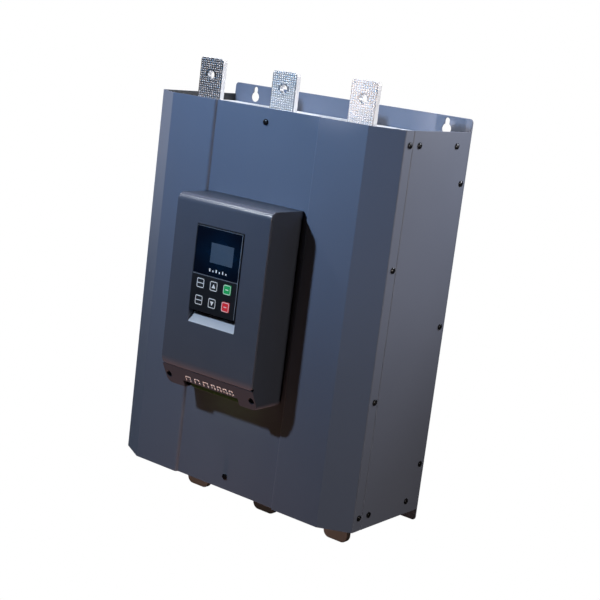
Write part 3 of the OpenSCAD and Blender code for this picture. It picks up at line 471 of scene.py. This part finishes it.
def moulded(name, low, high, grain, depth, rough):
    """Spark-textured moulded plastic."""
    mould = Finish(name)
    cloud = mould.noise(14.0, 3.0)
    spark = mould.noise(grain, 3.0)
    return mould.wear(
        Base_Color=mould.mix(cloud, low, high),
        Roughness=rough + spark * 0.16,
        Normal=mould.bump(spark, depth, 0.7),
    )


def blackened(name):
    """Black oxide on a formed screw, rubbed a little brighter in patches."""
    oxide = Finish(name, Metallic=0.7)
    rub = oxide.noise(500.0, 3.0)
    return oxide.wear(
        Base_Color=oxide.mix(rub, (0.012, 0.012, 0.014), (0.05, 0.05, 0.055)),
        Roughness=0.16 + rub * 0.16,
    )


SCREW_EDGE = 0.18 * MM
fit(rounded_copy("bottom_panel", "painted_bottom_panel", SHEET_EDGE), "bottom_panel",
    "enclosure", "slate_paint", slate)
black_oxide = blackened("black_oxide_screw")
fan_black = moulded("fan_black", (0.018, 0.018, 0.02), (0.034, 0.034, 0.037),
                    900.0, 0.04 * MM, 0.42)
for phase in (1, 2, 3):
    paint_solid(fan_black, f"fan_frame_{phase}", f"fan_rotor_{phase}")
fit(rounded_copy("fan_screws", "pan_head_fan_screws", SCREW_EDGE), "fan_screws",
    "enclosure", "black_screw", black_oxide)

# Trigger board: a zinc-plated bridge across the enclosure carries brass spacers, a green
# circuit board and six potted pulse transformers. The main board in the control box and the
# keypad's board are of the same make.


def circuit_board(name):
    """Green solder mask over copper tracks, with tinned pads."""
    board = Finish(name)
    tracks = board.bricks(160.0, 0.37, (1.7, 0.4), 0.035)
    spots = board.node("TexVoronoi", values={"Vector": board.place, "Scale": 260.0}, out="Distance")
    pads = spots < 0.16
    mask = board.mix(tracks, (0.012, 0.085, 0.04), (0.03, 0.17, 0.085))
    return board.wear(
        Base_Color=board.mix(pads, mask, (0.62, 0.60, 0.56)),
        Metallic=pads * 0.9,
        Roughness=0.32 + tracks * 0.1,
        Normal=board.bump(tracks, 0.05 * MM, 0.4),
    )


def zinc_plated_sheet(name):
    """Zinc-coated sheet with a soft spangle."""
    sheet = Finish(name, Metallic=0.35)
    spangle = sheet.node("TexVoronoi", values={"Vector": sheet.place, "Scale": 70.0}, out="Color")
    shade = sheet.node("SeparateColor", values={0: spangle})
    return sheet.wear(
        Base_Color=sheet.mix(shade, (0.66, 0.68, 0.70), (0.78, 0.80, 0.82)),
        Roughness=0.38 + shade * 0.12,
    )


def turned_brass(name):
    """Turned brass with fine rings."""
    brass = Finish(name, Metallic=1.0)
    rings = brass.noise(30.0, 2.0, stretch=(1.0, 60.0, 1.0))
    return brass.wear(
        Base_Color=brass.mix(rings, (0.58, 0.42, 0.16), (0.74, 0.56, 0.25)),
        Roughness=0.24 + rings * 0.16,
    )


board_green = circuit_board("green_circuit_board")
zinc_sheet = zinc_plated_sheet("zinc_plated_sheet")
paint_solid(zinc_sheet, "board_bridge")
paint_solid(turned_brass("turned_brass"), "board_spacers")
paint_solid(board_green, "trigger_board", "main_board", "keypad_board")
paint_solid(case_black, "pulse_transformers")

# Top panel: zinc-coated sheet, sunk below the cover's top edge, with windows for the line
# bars and two rows of air slots.
fit(rounded_copy("top_panel", "slotted_top_panel", SHEET_EDGE), "top_panel",
    "enclosure", "zinc_sheet", zinc_sheet)

# Side panels and front cover: folded from sheet steel and powder coated, the sides' inner faces
# painted black as painted shade. The cover's strips lap over the stepped front edges of the side
# panels, and black pan head screws hold them. The cover's middle is pressed in as a band.
inner_face_shade = moulded("inner_face_painted_shade", (0.012, 0.013, 0.015), (0.020, 0.021, 0.024), 400.0, 0.02 * MM, 0.5)
for node, name, inward in (("left_side_panel", "painted_left_side", 1),
                           ("right_side_panel", "painted_right_side", -1)):
    panel = rounded_copy(node, name, SHEET_EDGE)
    fit(panel, node, "enclosure", "slate_paint", slate, inner_face_shade)
    # The side panels' inner faces take the black: painted shade.
    for face in panel.data.polygons:
        face.material_index = int(face.normal.x * inward > SQUARE_ON)

BAND_HALF = 86 * MM
BAND_DEPTH = 4 * MM
BEND_REACH = 1.6 * MM
STEP_LEAN = 1.5 * MM
SHEET = 1.5 * MM
cover = solid_copy("front_cover", "painted_front_cover")
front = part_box("front_cover")[0].y
for corner in cover.data.vertices:
    side = math.copysign(1, corner.co.x)
    outside = corner.normal.y + side * corner.normal.x < 0
    depth = corner.co.y - front - (0 if outside else SHEET)
    if abs(abs(corner.co.x) - BAND_HALF) < BEND_REACH and depth < 2 * BAND_DEPTH:
        corner.co.x -= side * STEP_LEAN * min(1.0, max(0.0, depth / BAND_DEPTH))
fit(round_edges(cover, SHEET_EDGE), "front_cover", "enclosure", "slate_paint", slate)
for node, name in (("left_panel_screws", "pan_head_left_screws"),
                   ("right_panel_screws", "pan_head_right_screws"),
                   ("cover_screws", "pan_head_cover_screws")):
    fit(rounded_copy(node, name, SCREW_EDGE), node, "enclosure", "black_screw", black_oxide)

# Control box base: a moulded charcoal shell screwed to the cover through two deep bores. Its
# foot slopes back, with white marks printed above the wire opening.
# The base is moulded in a darker charcoal than the lid: painted shade on the box's sides.
shaded_base_charcoal = moulded("shaded_base_charcoal", (0.044, 0.051, 0.070), (0.055, 0.063, 0.086),
                        1300.0, 0.04 * MM, 0.34)
BASE_EDGE = 0.5 * MM
FOOT_LEAN = math.radians(118.6)
FOOT_KNEE = Vector((0, -235 * MM, -85 * MM))
FOOT_DOWN = Vector((0, 0.479, -0.878))
NUMBER_DROP = 22.6 * MM
NUMBER_SIZE = 5.0 * MM
TWO_DIGITS = 0.7
RULE_DROP = 17.4 * MM
RULE_THICK = 0.8 * MM
LEG_LENGTH = 2.2 * MM
INK = 0.05 * MM
PRINT_LIFT = Vector((0, -0.878, -0.479)) * INK
FIRST_WAY = -43.2 * MM
WAYS = [(7.62 * MM, 6), (5.08 * MM, 8)]


def printed(name, low, high, painted_glow=0.0):
    """Screen-printed ink with slightly uneven cover, and a painted glow that makes it brighter than
    its lamps light it.
    """
    ink = Finish(name, Emission_Color=colour(high), Emission_Strength=painted_glow)
    cover = ink.noise(700.0, 3.0)
    return ink.wear(Base_Color=ink.mix(cover, low, high), Roughness=0.5 + cover * 0.1)


def film_of_ink(flat, place, lean, lift, ink):
    """Sets a flat mark on a face and draws it out into a film, half of it sunk in the face."""
    flat.location = place - lift
    flat.rotation_euler = (lean, 0, 0)
    bpy.ops.object.transform_apply(location=True, rotation=True, scale=True)
    flat.data.materials.append(ink)
    thicken(flat, 2 * lift)
    return close_up(flat)


def printed_line(width, height, place, lean, lift, ink):
    """A straight line of ink."""
    bpy.ops.object.select_all(action="DESELECT")
    bpy.ops.mesh.primitive_plane_add(size=1)
    line = bpy.context.object
    line.scale = (width, height, 1)
    return film_of_ink(line, place, lean, lift, ink)


def on_foot(x, drop):
    """The place on the sloping foot that lies this far below its upper edge."""
    return FOOT_KNEE + FOOT_DOWN * drop + Vector((x, 0, 0))


def foot_line(x, drop, width, height, ink):
    """A printed line on the foot."""
    return printed_line(width, height, on_foot(x, drop), FOOT_LEAN, PRINT_LIFT, ink)


def foot_number(number, x, ink):
    """A small numeral printed on the foot above its terminal."""
    bpy.ops.object.select_all(action="DESELECT")
    bpy.ops.object.text_add()
    numeral = bpy.context.object
    numeral.data.body = str(number)
    numeral.data.size = NUMBER_SIZE
    numeral.data.align_x = "CENTER"
    numeral.data.align_y = "CENTER"
    bpy.ops.object.convert(target="MESH")
    numeral = bpy.context.object
    numeral.scale.x = TWO_DIGITS if number > 9 else 1
    return film_of_ink(numeral, on_foot(x, NUMBER_DROP), FOOT_LEAN, PRINT_LIFT, ink)


base = rounded_copy("control_base", "moulded_control_base", BASE_EDGE)
# The white ink has a painted glow.
white_ink = printed("white_ink", (0.90, 0.91, 0.93), (0.97, 0.97, 0.98), painted_glow=0.18)
base.data.materials.append(shaded_base_charcoal)
base.data.materials.append(white_ink)
prints = []
edge, number = FIRST_WAY, 1
for pitch, ways in WAYS:
    for way in range(ways):
        x = edge + pitch / 2
        prints.append(foot_number(number, x, white_ink))
        leg = foot_line(x, RULE_DROP + LEG_LENGTH / 2, RULE_THICK, LEG_LENGTH, white_ink)
        prints.append(leg)
        if way % 2 == 0:
            rule = foot_line(edge + pitch, RULE_DROP, pitch + RULE_THICK, RULE_THICK, white_ink)
            prints.append(rule)
        edge, number = edge + pitch, number + 1
join(base, prints)
fit(base, "control_base", "enclosure", "charcoal")
fit(rounded_copy("control_screws", "pan_head_control_screws", SCREW_EDGE), "control_screws",
    "enclosure", "black_screw", black_oxide)

# Terminal blocks: green moulded blocks on the edge of the main board, a wide-pitch one for
# the relays and a fine one for signals, each way with a slotted screw.
TERMINAL_EDGE = 0.25 * MM
terminal_green = moulded("terminal_green", (0.18, 0.42, 0.16), (0.23, 0.49, 0.21),
                         700.0, 0.03 * MM, 0.40)
for node, name in (("relay_terminals", "moulded_relay_terminals"),
                   ("signal_terminals", "moulded_signal_terminals")):
    block = rounded_copy(node, name, TERMINAL_EDGE)
    fit(block, node, "enclosure", "terminal_green", terminal_green)
paint_solid(zinc_steel, "terminal_screws")

# Flat cable: grey ribbon of parallel wires with one marked edge, from the main board through
# the cover to the trigger board.
WIRE_PITCH = 1.27 * MM
MARK_EDGE = 13.7 * MM


def flat_cable(name):
    """Parallel insulated wires, one edge marked red, darker in the grooves between them as painted
    shade.
    """
    cable = Finish(name)
    across = cable.node("SeparateXYZ", values={0: cable.place}, out="X")
    wires = cable.node("Math", {"operation": "PINGPONG"}, {0: across, 1: WIRE_PITCH / 2})
    groove = wires * (2 / WIRE_PITCH)
    # Darker grey in the grooves between the wires: painted shade.
    shaded_grey = cable.mix(groove, (0.20, 0.205, 0.21), (0.42, 0.43, 0.44))
    return cable.wear(
        Base_Color=cable.mix(across > MARK_EDGE, shaded_grey, (0.45, 0.04, 0.03)),
        Roughness=0.5 + groove * 0.1,
        Normal=cable.bump(groove, 0.3 * MM, 0.8),
    )


paint_solid(flat_cable("grey_flat_cable"), "signal_ribbon")

# Control box lid: a moulded charcoal shell with a rolled top edge and the keypad's pocket.
# The finger ramp below the keypad is pale grey: painted light where it faces up.
LID_EDGE = 0.7 * MM
RAMP_HEIGHT = 17 * MM
RAMP_UPWARD = (0.5, 0.9)
RAMP_OUTWARD = 0.4


def pale_insert(name):
    """Satin pale grey, painted light on the upward-facing ramp."""
    insert = Finish(name)
    cloud = insert.noise(60.0, 3.0)
    return insert.wear(
        Base_Color=insert.mix(cloud, (0.66, 0.66, 0.69), (0.74, 0.74, 0.77)),
        Roughness=0.35 + cloud * 0.1,
    )


lid_charcoal = moulded("lid_charcoal", (0.104, 0.107, 0.132), (0.124, 0.127, 0.158),
                       1300.0, 0.02 * MM, 0.14)
lid = rounded_copy("control_lid", "moulded_control_lid", LID_EDGE, segments=3)
fit(lid, "control_lid", "enclosure", "charcoal", lid_charcoal, pale_insert("ramp_pale_painted_light"))
# The ramp's upward-facing faces take the pale grey: painted light.
ramp_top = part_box("keypad_frame")[0].z
for face in lid.data.polygons:
    slanted = (RAMP_UPWARD[0] < face.normal.z < RAMP_UPWARD[1]
               and -face.normal.y > RAMP_OUTWARD)
    if slanted and -MM < face.center.z - ramp_top + RAMP_HEIGHT < RAMP_HEIGHT:
        face.material_index = 1

# Keypad frame: a shallow black moulding that plugs into the lid's pocket and carries the
# window, the display and six keys.
HIGHLIGHT_INSET = 0.9 * MM
HIGHLIGHT_WIDTH = 0.8 * MM
RIM_EDGE = 0.4 * MM
TOUCH = 0.01 * MM
keypad_black = moulded("keypad_black", (0.009, 0.010, 0.014), (0.014, 0.015, 0.019),
                       900.0, 0.02 * MM, 0.34)
# Pale grey for the painted highlight lines along the frame's edges.
painted_highlight_ink = printed("painted_highlight_ink", (0.24, 0.26, 0.30), (0.30, 0.32, 0.36))


def keypad_line(x, z, width, height, front, ink):
    """A thin line on an upright face of the keypad, for printed ticks and for painted highlight
    lines.
    """
    lift = Vector((0, -INK, 0))
    return printed_line(width, height, Vector((x, front, z)), math.radians(90), lift, ink)


def select_edges(piece, wanted):
    """Opens a piece for editing with the edges selected whose two end points pass the test."""
    select_only(piece)
    bpy.ops.object.mode_set(mode="EDIT")
    bpy.ops.mesh.select_mode(type="EDGE")
    bpy.ops.mesh.select_all(action="DESELECT")
    bpy.ops.object.mode_set(mode="OBJECT")
    for edge in piece.data.edges:
        edge.select = wanted(*(piece.data.vertices[i].co for i in edge.vertices))
    bpy.ops.object.mode_set(mode="EDIT")


def on_rim(point, low, high):
    """True on an outer edge of a box."""
    near = [min(abs(at - a), abs(at - b)) < TOUCH for at, a, b in zip(point, low, high)]
    return sum(near) > 1


low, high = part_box("keypad_frame")
keypad = solid_copy("keypad_frame", "moulded_keypad_frame")
select_edges(keypad, lambda a, b: on_rim(a, low, high) and on_rim(b, low, high))
bpy.ops.mesh.bevel(offset=RIM_EDGE, segments=2, affect="EDGES", loop_slide=False)
bpy.ops.object.mode_set(mode="OBJECT")
smooth(keypad)
keypad.data.materials.append(keypad_black)
keypad.data.materials.append(painted_highlight_ink)
wide, tall = high.x - low.x - 2 * HIGHLIGHT_INSET, high.z - low.z - 2 * HIGHLIGHT_INSET
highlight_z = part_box("display_window")[0].z - HIGHLIGHT_INSET
right_x, middle_z = high.x - HIGHLIGHT_INSET, (low.z + high.z) / 2
# Painted highlight lines under the window and along the frame's top and right edges.
join(keypad, [
    keypad_line(0, highlight_z, wide, HIGHLIGHT_WIDTH, low.y, painted_highlight_ink),
    keypad_line(0, high.z - HIGHLIGHT_INSET, wide, HIGHLIGHT_WIDTH / 2, low.y, painted_highlight_ink),
    keypad_line(right_x, middle_z, HIGHLIGHT_WIDTH, tall, low.y, painted_highlight_ink),
])
fit(keypad, "keypad_frame", "keypad", "charcoal")

# Display: a grey-blue liquid crystal behind a navy acrylic window, which is printed opaque
# around the viewing area. White scale ticks are printed below it.
VIEW_HALF = (19.5 * MM, 13 * MM)
VIEW_SHIFT = Vector((6.4 * MM, 0, 0))
VIEW_CLEAR = 0.8
REFLECTION_ACROSS = 21.0
REFLECTION_UPWARD = 27.0
REFLECTION_CLOUD = 0.3
REFLECTION_START = 0.35
WINDOW_EDGE = 0.4 * MM
TICKS = 6
TICK_PITCH = 5.4 * MM
TICK_WIDTH = 1.8 * MM
TICK_DROP = 24 * MM
TICK_SHORT = 2.2 * MM
TICK_LONG = 3.8 * MM


def liquid_crystal(name):
    """Reflective panel with a faint grid of picture elements."""
    panel = Finish(name)
    grid = panel.bricks(1000.0, 0.0, (0.8, 0.8), 0.04)
    cloud = panel.noise(40.0, 2.0)
    shade = panel.mix(cloud, (0.155, 0.20, 0.265), (0.185, 0.235, 0.30))
    return panel.wear(
        Base_Color=panel.mix(grid, shade, (0.12, 0.16, 0.22)),
        Roughness=0.25 + cloud * 0.1,
    )


def tinted_window(name, middle):
    """Navy acrylic, opaque print outside the view, clear tint inside it, lighter teal near the view
    as a painted reflection.
    """
    acrylic = Finish(name, IOR=1.49)
    centred = acrylic.node("Mapping", values={"Vector": acrylic.place, "Location": -middle})
    across = abs(acrylic.node("SeparateXYZ", values={0: centred}, out="X"))
    upward = abs(acrylic.node("SeparateXYZ", values={0: centred}, out="Z"))
    view = (across < VIEW_HALF[0]) * (upward < VIEW_HALF[1])
    cloud = acrylic.noise(25.0, 2.0)
    # Lighter teal near the view, darker further out: a painted reflection.
    spread = across * REFLECTION_ACROSS + upward * REFLECTION_UPWARD + cloud * REFLECTION_CLOUD
    reflection_fade = acrylic.node("Clamp", values={0: spread - REFLECTION_START})
    return acrylic.wear(
        Base_Color=acrylic.mix(reflection_fade, (0.003, 0.017, 0.040), (0.004, 0.007, 0.016)),
        Roughness=0.10 + cloud * 0.06,
        Alpha=1 - view * VIEW_CLEAR,
    )


paint_solid(liquid_crystal("liquid_crystal"), "lcd_module")
low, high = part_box("lcd_module")
view_middle = (low + high) / 2
window = rounded_copy("display_window", "tinted_display_window", WINDOW_EDGE)
window.data.materials.append(tinted_window("navy_acrylic", view_middle + VIEW_SHIFT))
window.data.materials.append(white_ink)
window_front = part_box("display_window")[0].y
ticks = []
for tick in range(TICKS):
    x = (tick - TICKS / 2) * TICK_PITCH + VIEW_SHIFT.x
    tall = TICK_LONG if tick % 2 == 0 else TICK_SHORT
    z = view_middle.z - TICK_DROP + tall / 2
    ticks.append(keypad_line(x, z, TICK_WIDTH, tall, window_front, white_ink))
join(window, ticks)
fit(window, "display_window", "keypad", "window")
window.visible_shadow = False

# Keys: silicone rubber caps with round corners, a lip behind the frame, a stem towards the
# circuit board and a printed pale outline. Four black keys, a green key and a red key.
KEY_SIDE = 12.5 * MM
KEY_CORNER = 2.3 * MM
KEY_SHOULDER = 0.25 * MM
OUTLINE = 0.9 * MM
LIP_DEPTH = 3.4 * MM
LIP_THICK = 1.2 * MM
LIP_SIDE = 14.9 * MM
STEM_SIDE = 5 * MM
ARROW_HALF = 3.0 * MM
ARROW_FOOT = 2.5 * MM
ARROW_TIP = 2.9 * MM


def rubber(name, low, high, painted_glow=0.0):
    """Matt silicone rubber; the bright keys have a painted glow."""
    skin = Finish(name, Sheen_Weight=0.05, Emission_Color=colour(high), Emission_Strength=painted_glow)
    cloud = skin.noise(300.0, 3.0)
    return skin.wear(Base_Color=skin.mix(cloud, low, high), Roughness=0.45 + cloud * 0.15)


def rubber_key(node, name, legend, cap, ink):
    """One key: a block, rounded, inset and drawn out to its stem, with a printed legend."""
    low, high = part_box(node)
    x, z = (low.x + high.x) / 2, (low.z + high.z) / 2
    front, lip = low.y, low.y + LIP_DEPTH
    bpy.ops.object.select_all(action="DESELECT")
    bpy.ops.mesh.primitive_cube_add(size=1, location=(x, (front + KEY_SHOULDER + lip) / 2, z))
    key = bpy.context.object
    key.name = name
    key.scale = (KEY_SIDE, lip - front - KEY_SHOULDER, KEY_SIDE)
    bpy.ops.object.transform_apply(location=True, rotation=True, scale=True)
    key.data.materials.append(cap)
    key.data.materials.append(ink)
    select_edges(key, lambda a, b: abs(a.y - b.y) > MM)
    bpy.ops.mesh.bevel(offset=KEY_CORNER, segments=6, affect="EDGES")
    bpy.ops.object.mode_set(mode="OBJECT")
    select_faces(key, lambda face: face.normal.y > SQUARE_ON)
    grow, shrink = LIP_SIDE / KEY_SIDE, STEM_SIDE / LIP_SIDE
    bpy.ops.mesh.extrude_region_move()
    bpy.ops.transform.resize(value=(grow, 1, grow))
    bpy.ops.mesh.extrude_region_move(TRANSFORM_OT_translate={"value": (0, LIP_THICK, 0)})
    bpy.ops.mesh.extrude_region_move()
    bpy.ops.transform.resize(value=(shrink, 1, shrink))
    bpy.ops.mesh.extrude_region_move(
        TRANSFORM_OT_translate={"value": (0, high.y - lip - LIP_THICK, 0)})
    bpy.ops.object.mode_set(mode="OBJECT")
    select_faces(key, lambda face: face.normal.y < -SQUARE_ON and face.center.y < front + MM)
    bpy.ops.mesh.inset(thickness=KEY_SHOULDER, depth=KEY_SHOULDER)
    bpy.ops.mesh.inset(thickness=OUTLINE, depth=0)
    bpy.ops.object.mode_set(mode="OBJECT")
    for face in key.data.polygons:
        if face.center.y < front + TOUCH and not face.select:
            face.material_index = 1
    bpy.ops.object.select_all(action="DESELECT")
    bpy.ops.mesh.primitive_circle_add(vertices=len(legend), radius=MM, fill_type="NGON")
    patch = bpy.context.object
    for vertex, (across, upward) in zip(patch.data.vertices, legend):
        vertex.co = (x + across, front, z + upward)
    patch.data.materials.append(ink)
    thicken(patch, (0, -INK, 0))
    join(key, [close_up(patch)])
    smooth(key)
    return key


def dash(half_wide, half_tall):
    """Corners of a dash about the middle of a key."""
    return [(-half_wide, -half_tall), (half_wide, -half_tall),
            (half_wide, half_tall), (-half_wide, half_tall)]


def arrow(way):
    """Corners of an arrow head that points up, or down for a way of -1."""
    return [(-ARROW_HALF, -way * ARROW_FOOT), (ARROW_HALF, -way * ARROW_FOOT),
            (0, way * ARROW_TIP)]


thin_dash = dash(4.6 * MM, 0.45 * MM)
short_dash = dash(2.3 * MM, 0.6 * MM)
black_rubber = rubber("black_rubber", (0.010, 0.010, 0.013), (0.016, 0.016, 0.020))
# The green and red keys have a painted glow.
green_rubber = rubber("green_rubber", (0.0, 0.46, 0.10), (0.005, 0.54, 0.13), painted_glow=0.10)
red_rubber = rubber("red_rubber", (0.92, 0.02, 0.03), (0.98, 0.03, 0.045), painted_glow=0.16)
# The pale inks on the green and red keys have a painted glow.
pale_green = printed("pale_green_ink", (0.66, 0.88, 0.72), (0.74, 0.92, 0.78), painted_glow=0.18)
pale_red = printed("pale_red_ink", (0.95, 0.66, 0.66), (0.97, 0.74, 0.74), painted_glow=0.18)
for node, legend, slot, cap, ink in (
        ("key_menu", thin_dash, "key_black", black_rubber, white_ink),
        ("key_up", arrow(1), "key_black", black_rubber, white_ink),
        ("key_start", short_dash, "key_green", green_rubber, pale_green),
        ("key_back", thin_dash, "key_black", black_rubber, white_ink),
        ("key_down", arrow(-1), "key_black", black_rubber, white_ink),
        ("key_stop", short_dash, "key_red", red_rubber, pale_red)):
    key = rubber_key(node, node.replace("key_", "rubber_key_"), legend, cap, ink)
    fit(key, node, node, slot)

# Studio: a far floor and surroundings that are white to the camera alone, and 12 lamps set for
# the camera's view. A cool key and a blue spot stand at the front left, panels at the sides and
# above, warm lamps below, and narrow ones pick out the bars, the right side and the glossy lid.
FLOOR_Z = -2.0
FLOOR_SIDE = 14
FLOOR_TONE = (0.010, 0.007, 0.005)
WORLD_TONE = (0.003, 0.003, 0.004)
KEY_PLACE = (-0.30, -1.02, 0.60)
WHITE = (1.0, 1.0, 1.0, 1.0)


def white_to_camera(tree, shader, dim):
    """Shows plain white to the camera and a dimmer tone to the object."""
    seen = tree.nodes.new("ShaderNodeLightPath").outputs["Is Camera Ray"]
    bright = tree.nodes.new(shader)
    bright.inputs["Color"].default_value = WHITE
    soft = tree.nodes.new(shader)
    soft.inputs["Color"].default_value = (*dim, 1.0)
    choice = tree.nodes.new("ShaderNodeMixShader")
    tree.links.new(seen, choice.inputs[0])
    tree.links.new(soft.outputs[0], choice.inputs[1])
    tree.links.new(bright.outputs[0], choice.inputs[2])
    return choice.outputs[0]


def studio_light(kind, name, place, target, size, watts, tint, spread=0, gloss=True, matt=True):
    """A lamp that shines at a point: an even panel, or a spot that fades over its spread in
    degrees. It can leave out glossy or matt reflection."""
    bpy.ops.object.light_add(type=kind, location=place)
    lamp = bpy.context.object
    lamp.name = name
    lamp.rotation_euler = (Vector(target) - Vector(place)).to_track_quat("-Z", "Y").to_euler()
    lamp.data.energy = watts
    lamp.data.color = tint
    lamp.visible_camera = False
    lamp.visible_glossy = gloss
    lamp.visible_diffuse = matt
    if kind == "AREA":
        lamp.data.size = size
    else:
        lamp.data.shadow_soft_size = size / 2
        lamp.data.spot_blend = 1.0
        lamp.data.spot_size = math.radians(spread)


bpy.ops.mesh.primitive_plane_add(size=FLOOR_SIDE, location=(0, 0, FLOOR_Z))
floor = bpy.context.object
floor.name = "studio_floor"
floor_material = bpy.data.materials.new("pale_floor")
floor_material.use_nodes = True
floor_tree = floor_material.node_tree
floor_tree.links.new(white_to_camera(floor_tree, "ShaderNodeEmission", FLOOR_TONE),
                     floor_tree.nodes["Material Output"].inputs["Surface"])
floor.data.materials.append(floor_material)

world = bpy.data.worlds.new("studio")
world.use_nodes = True
world_tree = world.node_tree
world_tree.links.new(white_to_camera(world_tree, "ShaderNodeBackground", WORLD_TONE),
                     world_tree.nodes["World Output"].inputs["Surface"])
bpy.context.scene.world = world
bpy.context.scene.view_settings.view_transform = "Standard"

studio_light("AREA", "key_panel", KEY_PLACE, (0.0, -0.17, 0.05),
             0.05, 5.95, (0.69, 0.825, 1.0))
studio_light("SPOT", "blue_spot", KEY_PLACE, (-0.02, -0.17, 0.42),
             0.05, 13.0, (0.02, 0.40, 1.0), spread=60)
studio_light("SPOT", "side_spot", (0.72, 0.42, 0.50), (0.2, -0.08, 0.24),
             0.25, 23.0, (0.84, 0.87, 0.94), spread=55)
studio_light("AREA", "right_panel", (1.8, -0.24, 0.20), (0.2, -0.12, 0.0),
             0.3, 8.6, (1.0, 0.89, 0.80))
studio_light("AREA", "left_panel", (-1.6, -0.08, 0.25), (-0.2, -0.12, 0.1),
             0.7, 2.3, (0.95, 0.90, 0.88))
studio_light("AREA", "overhead_panel", (0.0, 0.10, 1.10), (0.0, -0.10, 0.25),
             0.4, 13.5, (0.98, 0.97, 1.0))
studio_light("SPOT", "warm_low_spot", (0.0, -0.168, -1.0), (0.0, -0.226, -0.1),
             0.2, 58.0, (1.0, 0.52, 0.38), spread=40, gloss=False)
studio_light("AREA", "warm_glow", (-0.60, -1.0, -0.62), (0.0, -0.08, -0.29),
             0.6, 0.16, (1.0, 0.74, 0.64), matt=False)
studio_light("SPOT", "bar_spot", (-0.30, -1.5, 0.50), (0.118, -0.14, 0.288),
             0.05, 56.0, (1.0, 0.93, 0.92), spread=4)
studio_light("AREA", "warm_bounce", (0.02, -0.36, -0.46), (0.02, -0.17, -0.25),
             0.3, 0.07, (1.0, 0.5, 0.15), gloss=False)
studio_light("AREA", "streak_panel", (-0.70, -0.85, 0.88), (0.07, -0.23, 0.13),
             0.12, 2.4, (0.90, 0.95, 1.0), matt=False)
studio_light("AREA", "edge_panel", (-0.75, -0.42, 1.05), (0.0, -0.22, 0.13),
             0.15, 2.2, (0.85, 0.92, 1.0))

# Camera: the photograph's view, from the right and a little above, rolled to the right. Its
# place, direction, roll and lens were fitted to the object's outline and corners.
EYE = Vector((1.07276, -1.4977, 0.35656))
GAZE = Vector((-0.58441, 0.78723, -0.19681))
ROLL = math.radians(7.08)
LENS = 80.28
SENSOR = 36.0
bpy.ops.object.camera_add(location=EYE)
camera = bpy.context.object
camera.rotation_mode = "QUATERNION"
camera.rotation_quaternion = GAZE.to_track_quat("-Z", "Y") @ Quaternion((0, 0, 1), ROLL)
camera.data.lens = LENS
camera.data.sensor_width = SENSOR
bpy.context.scene.camera = camera
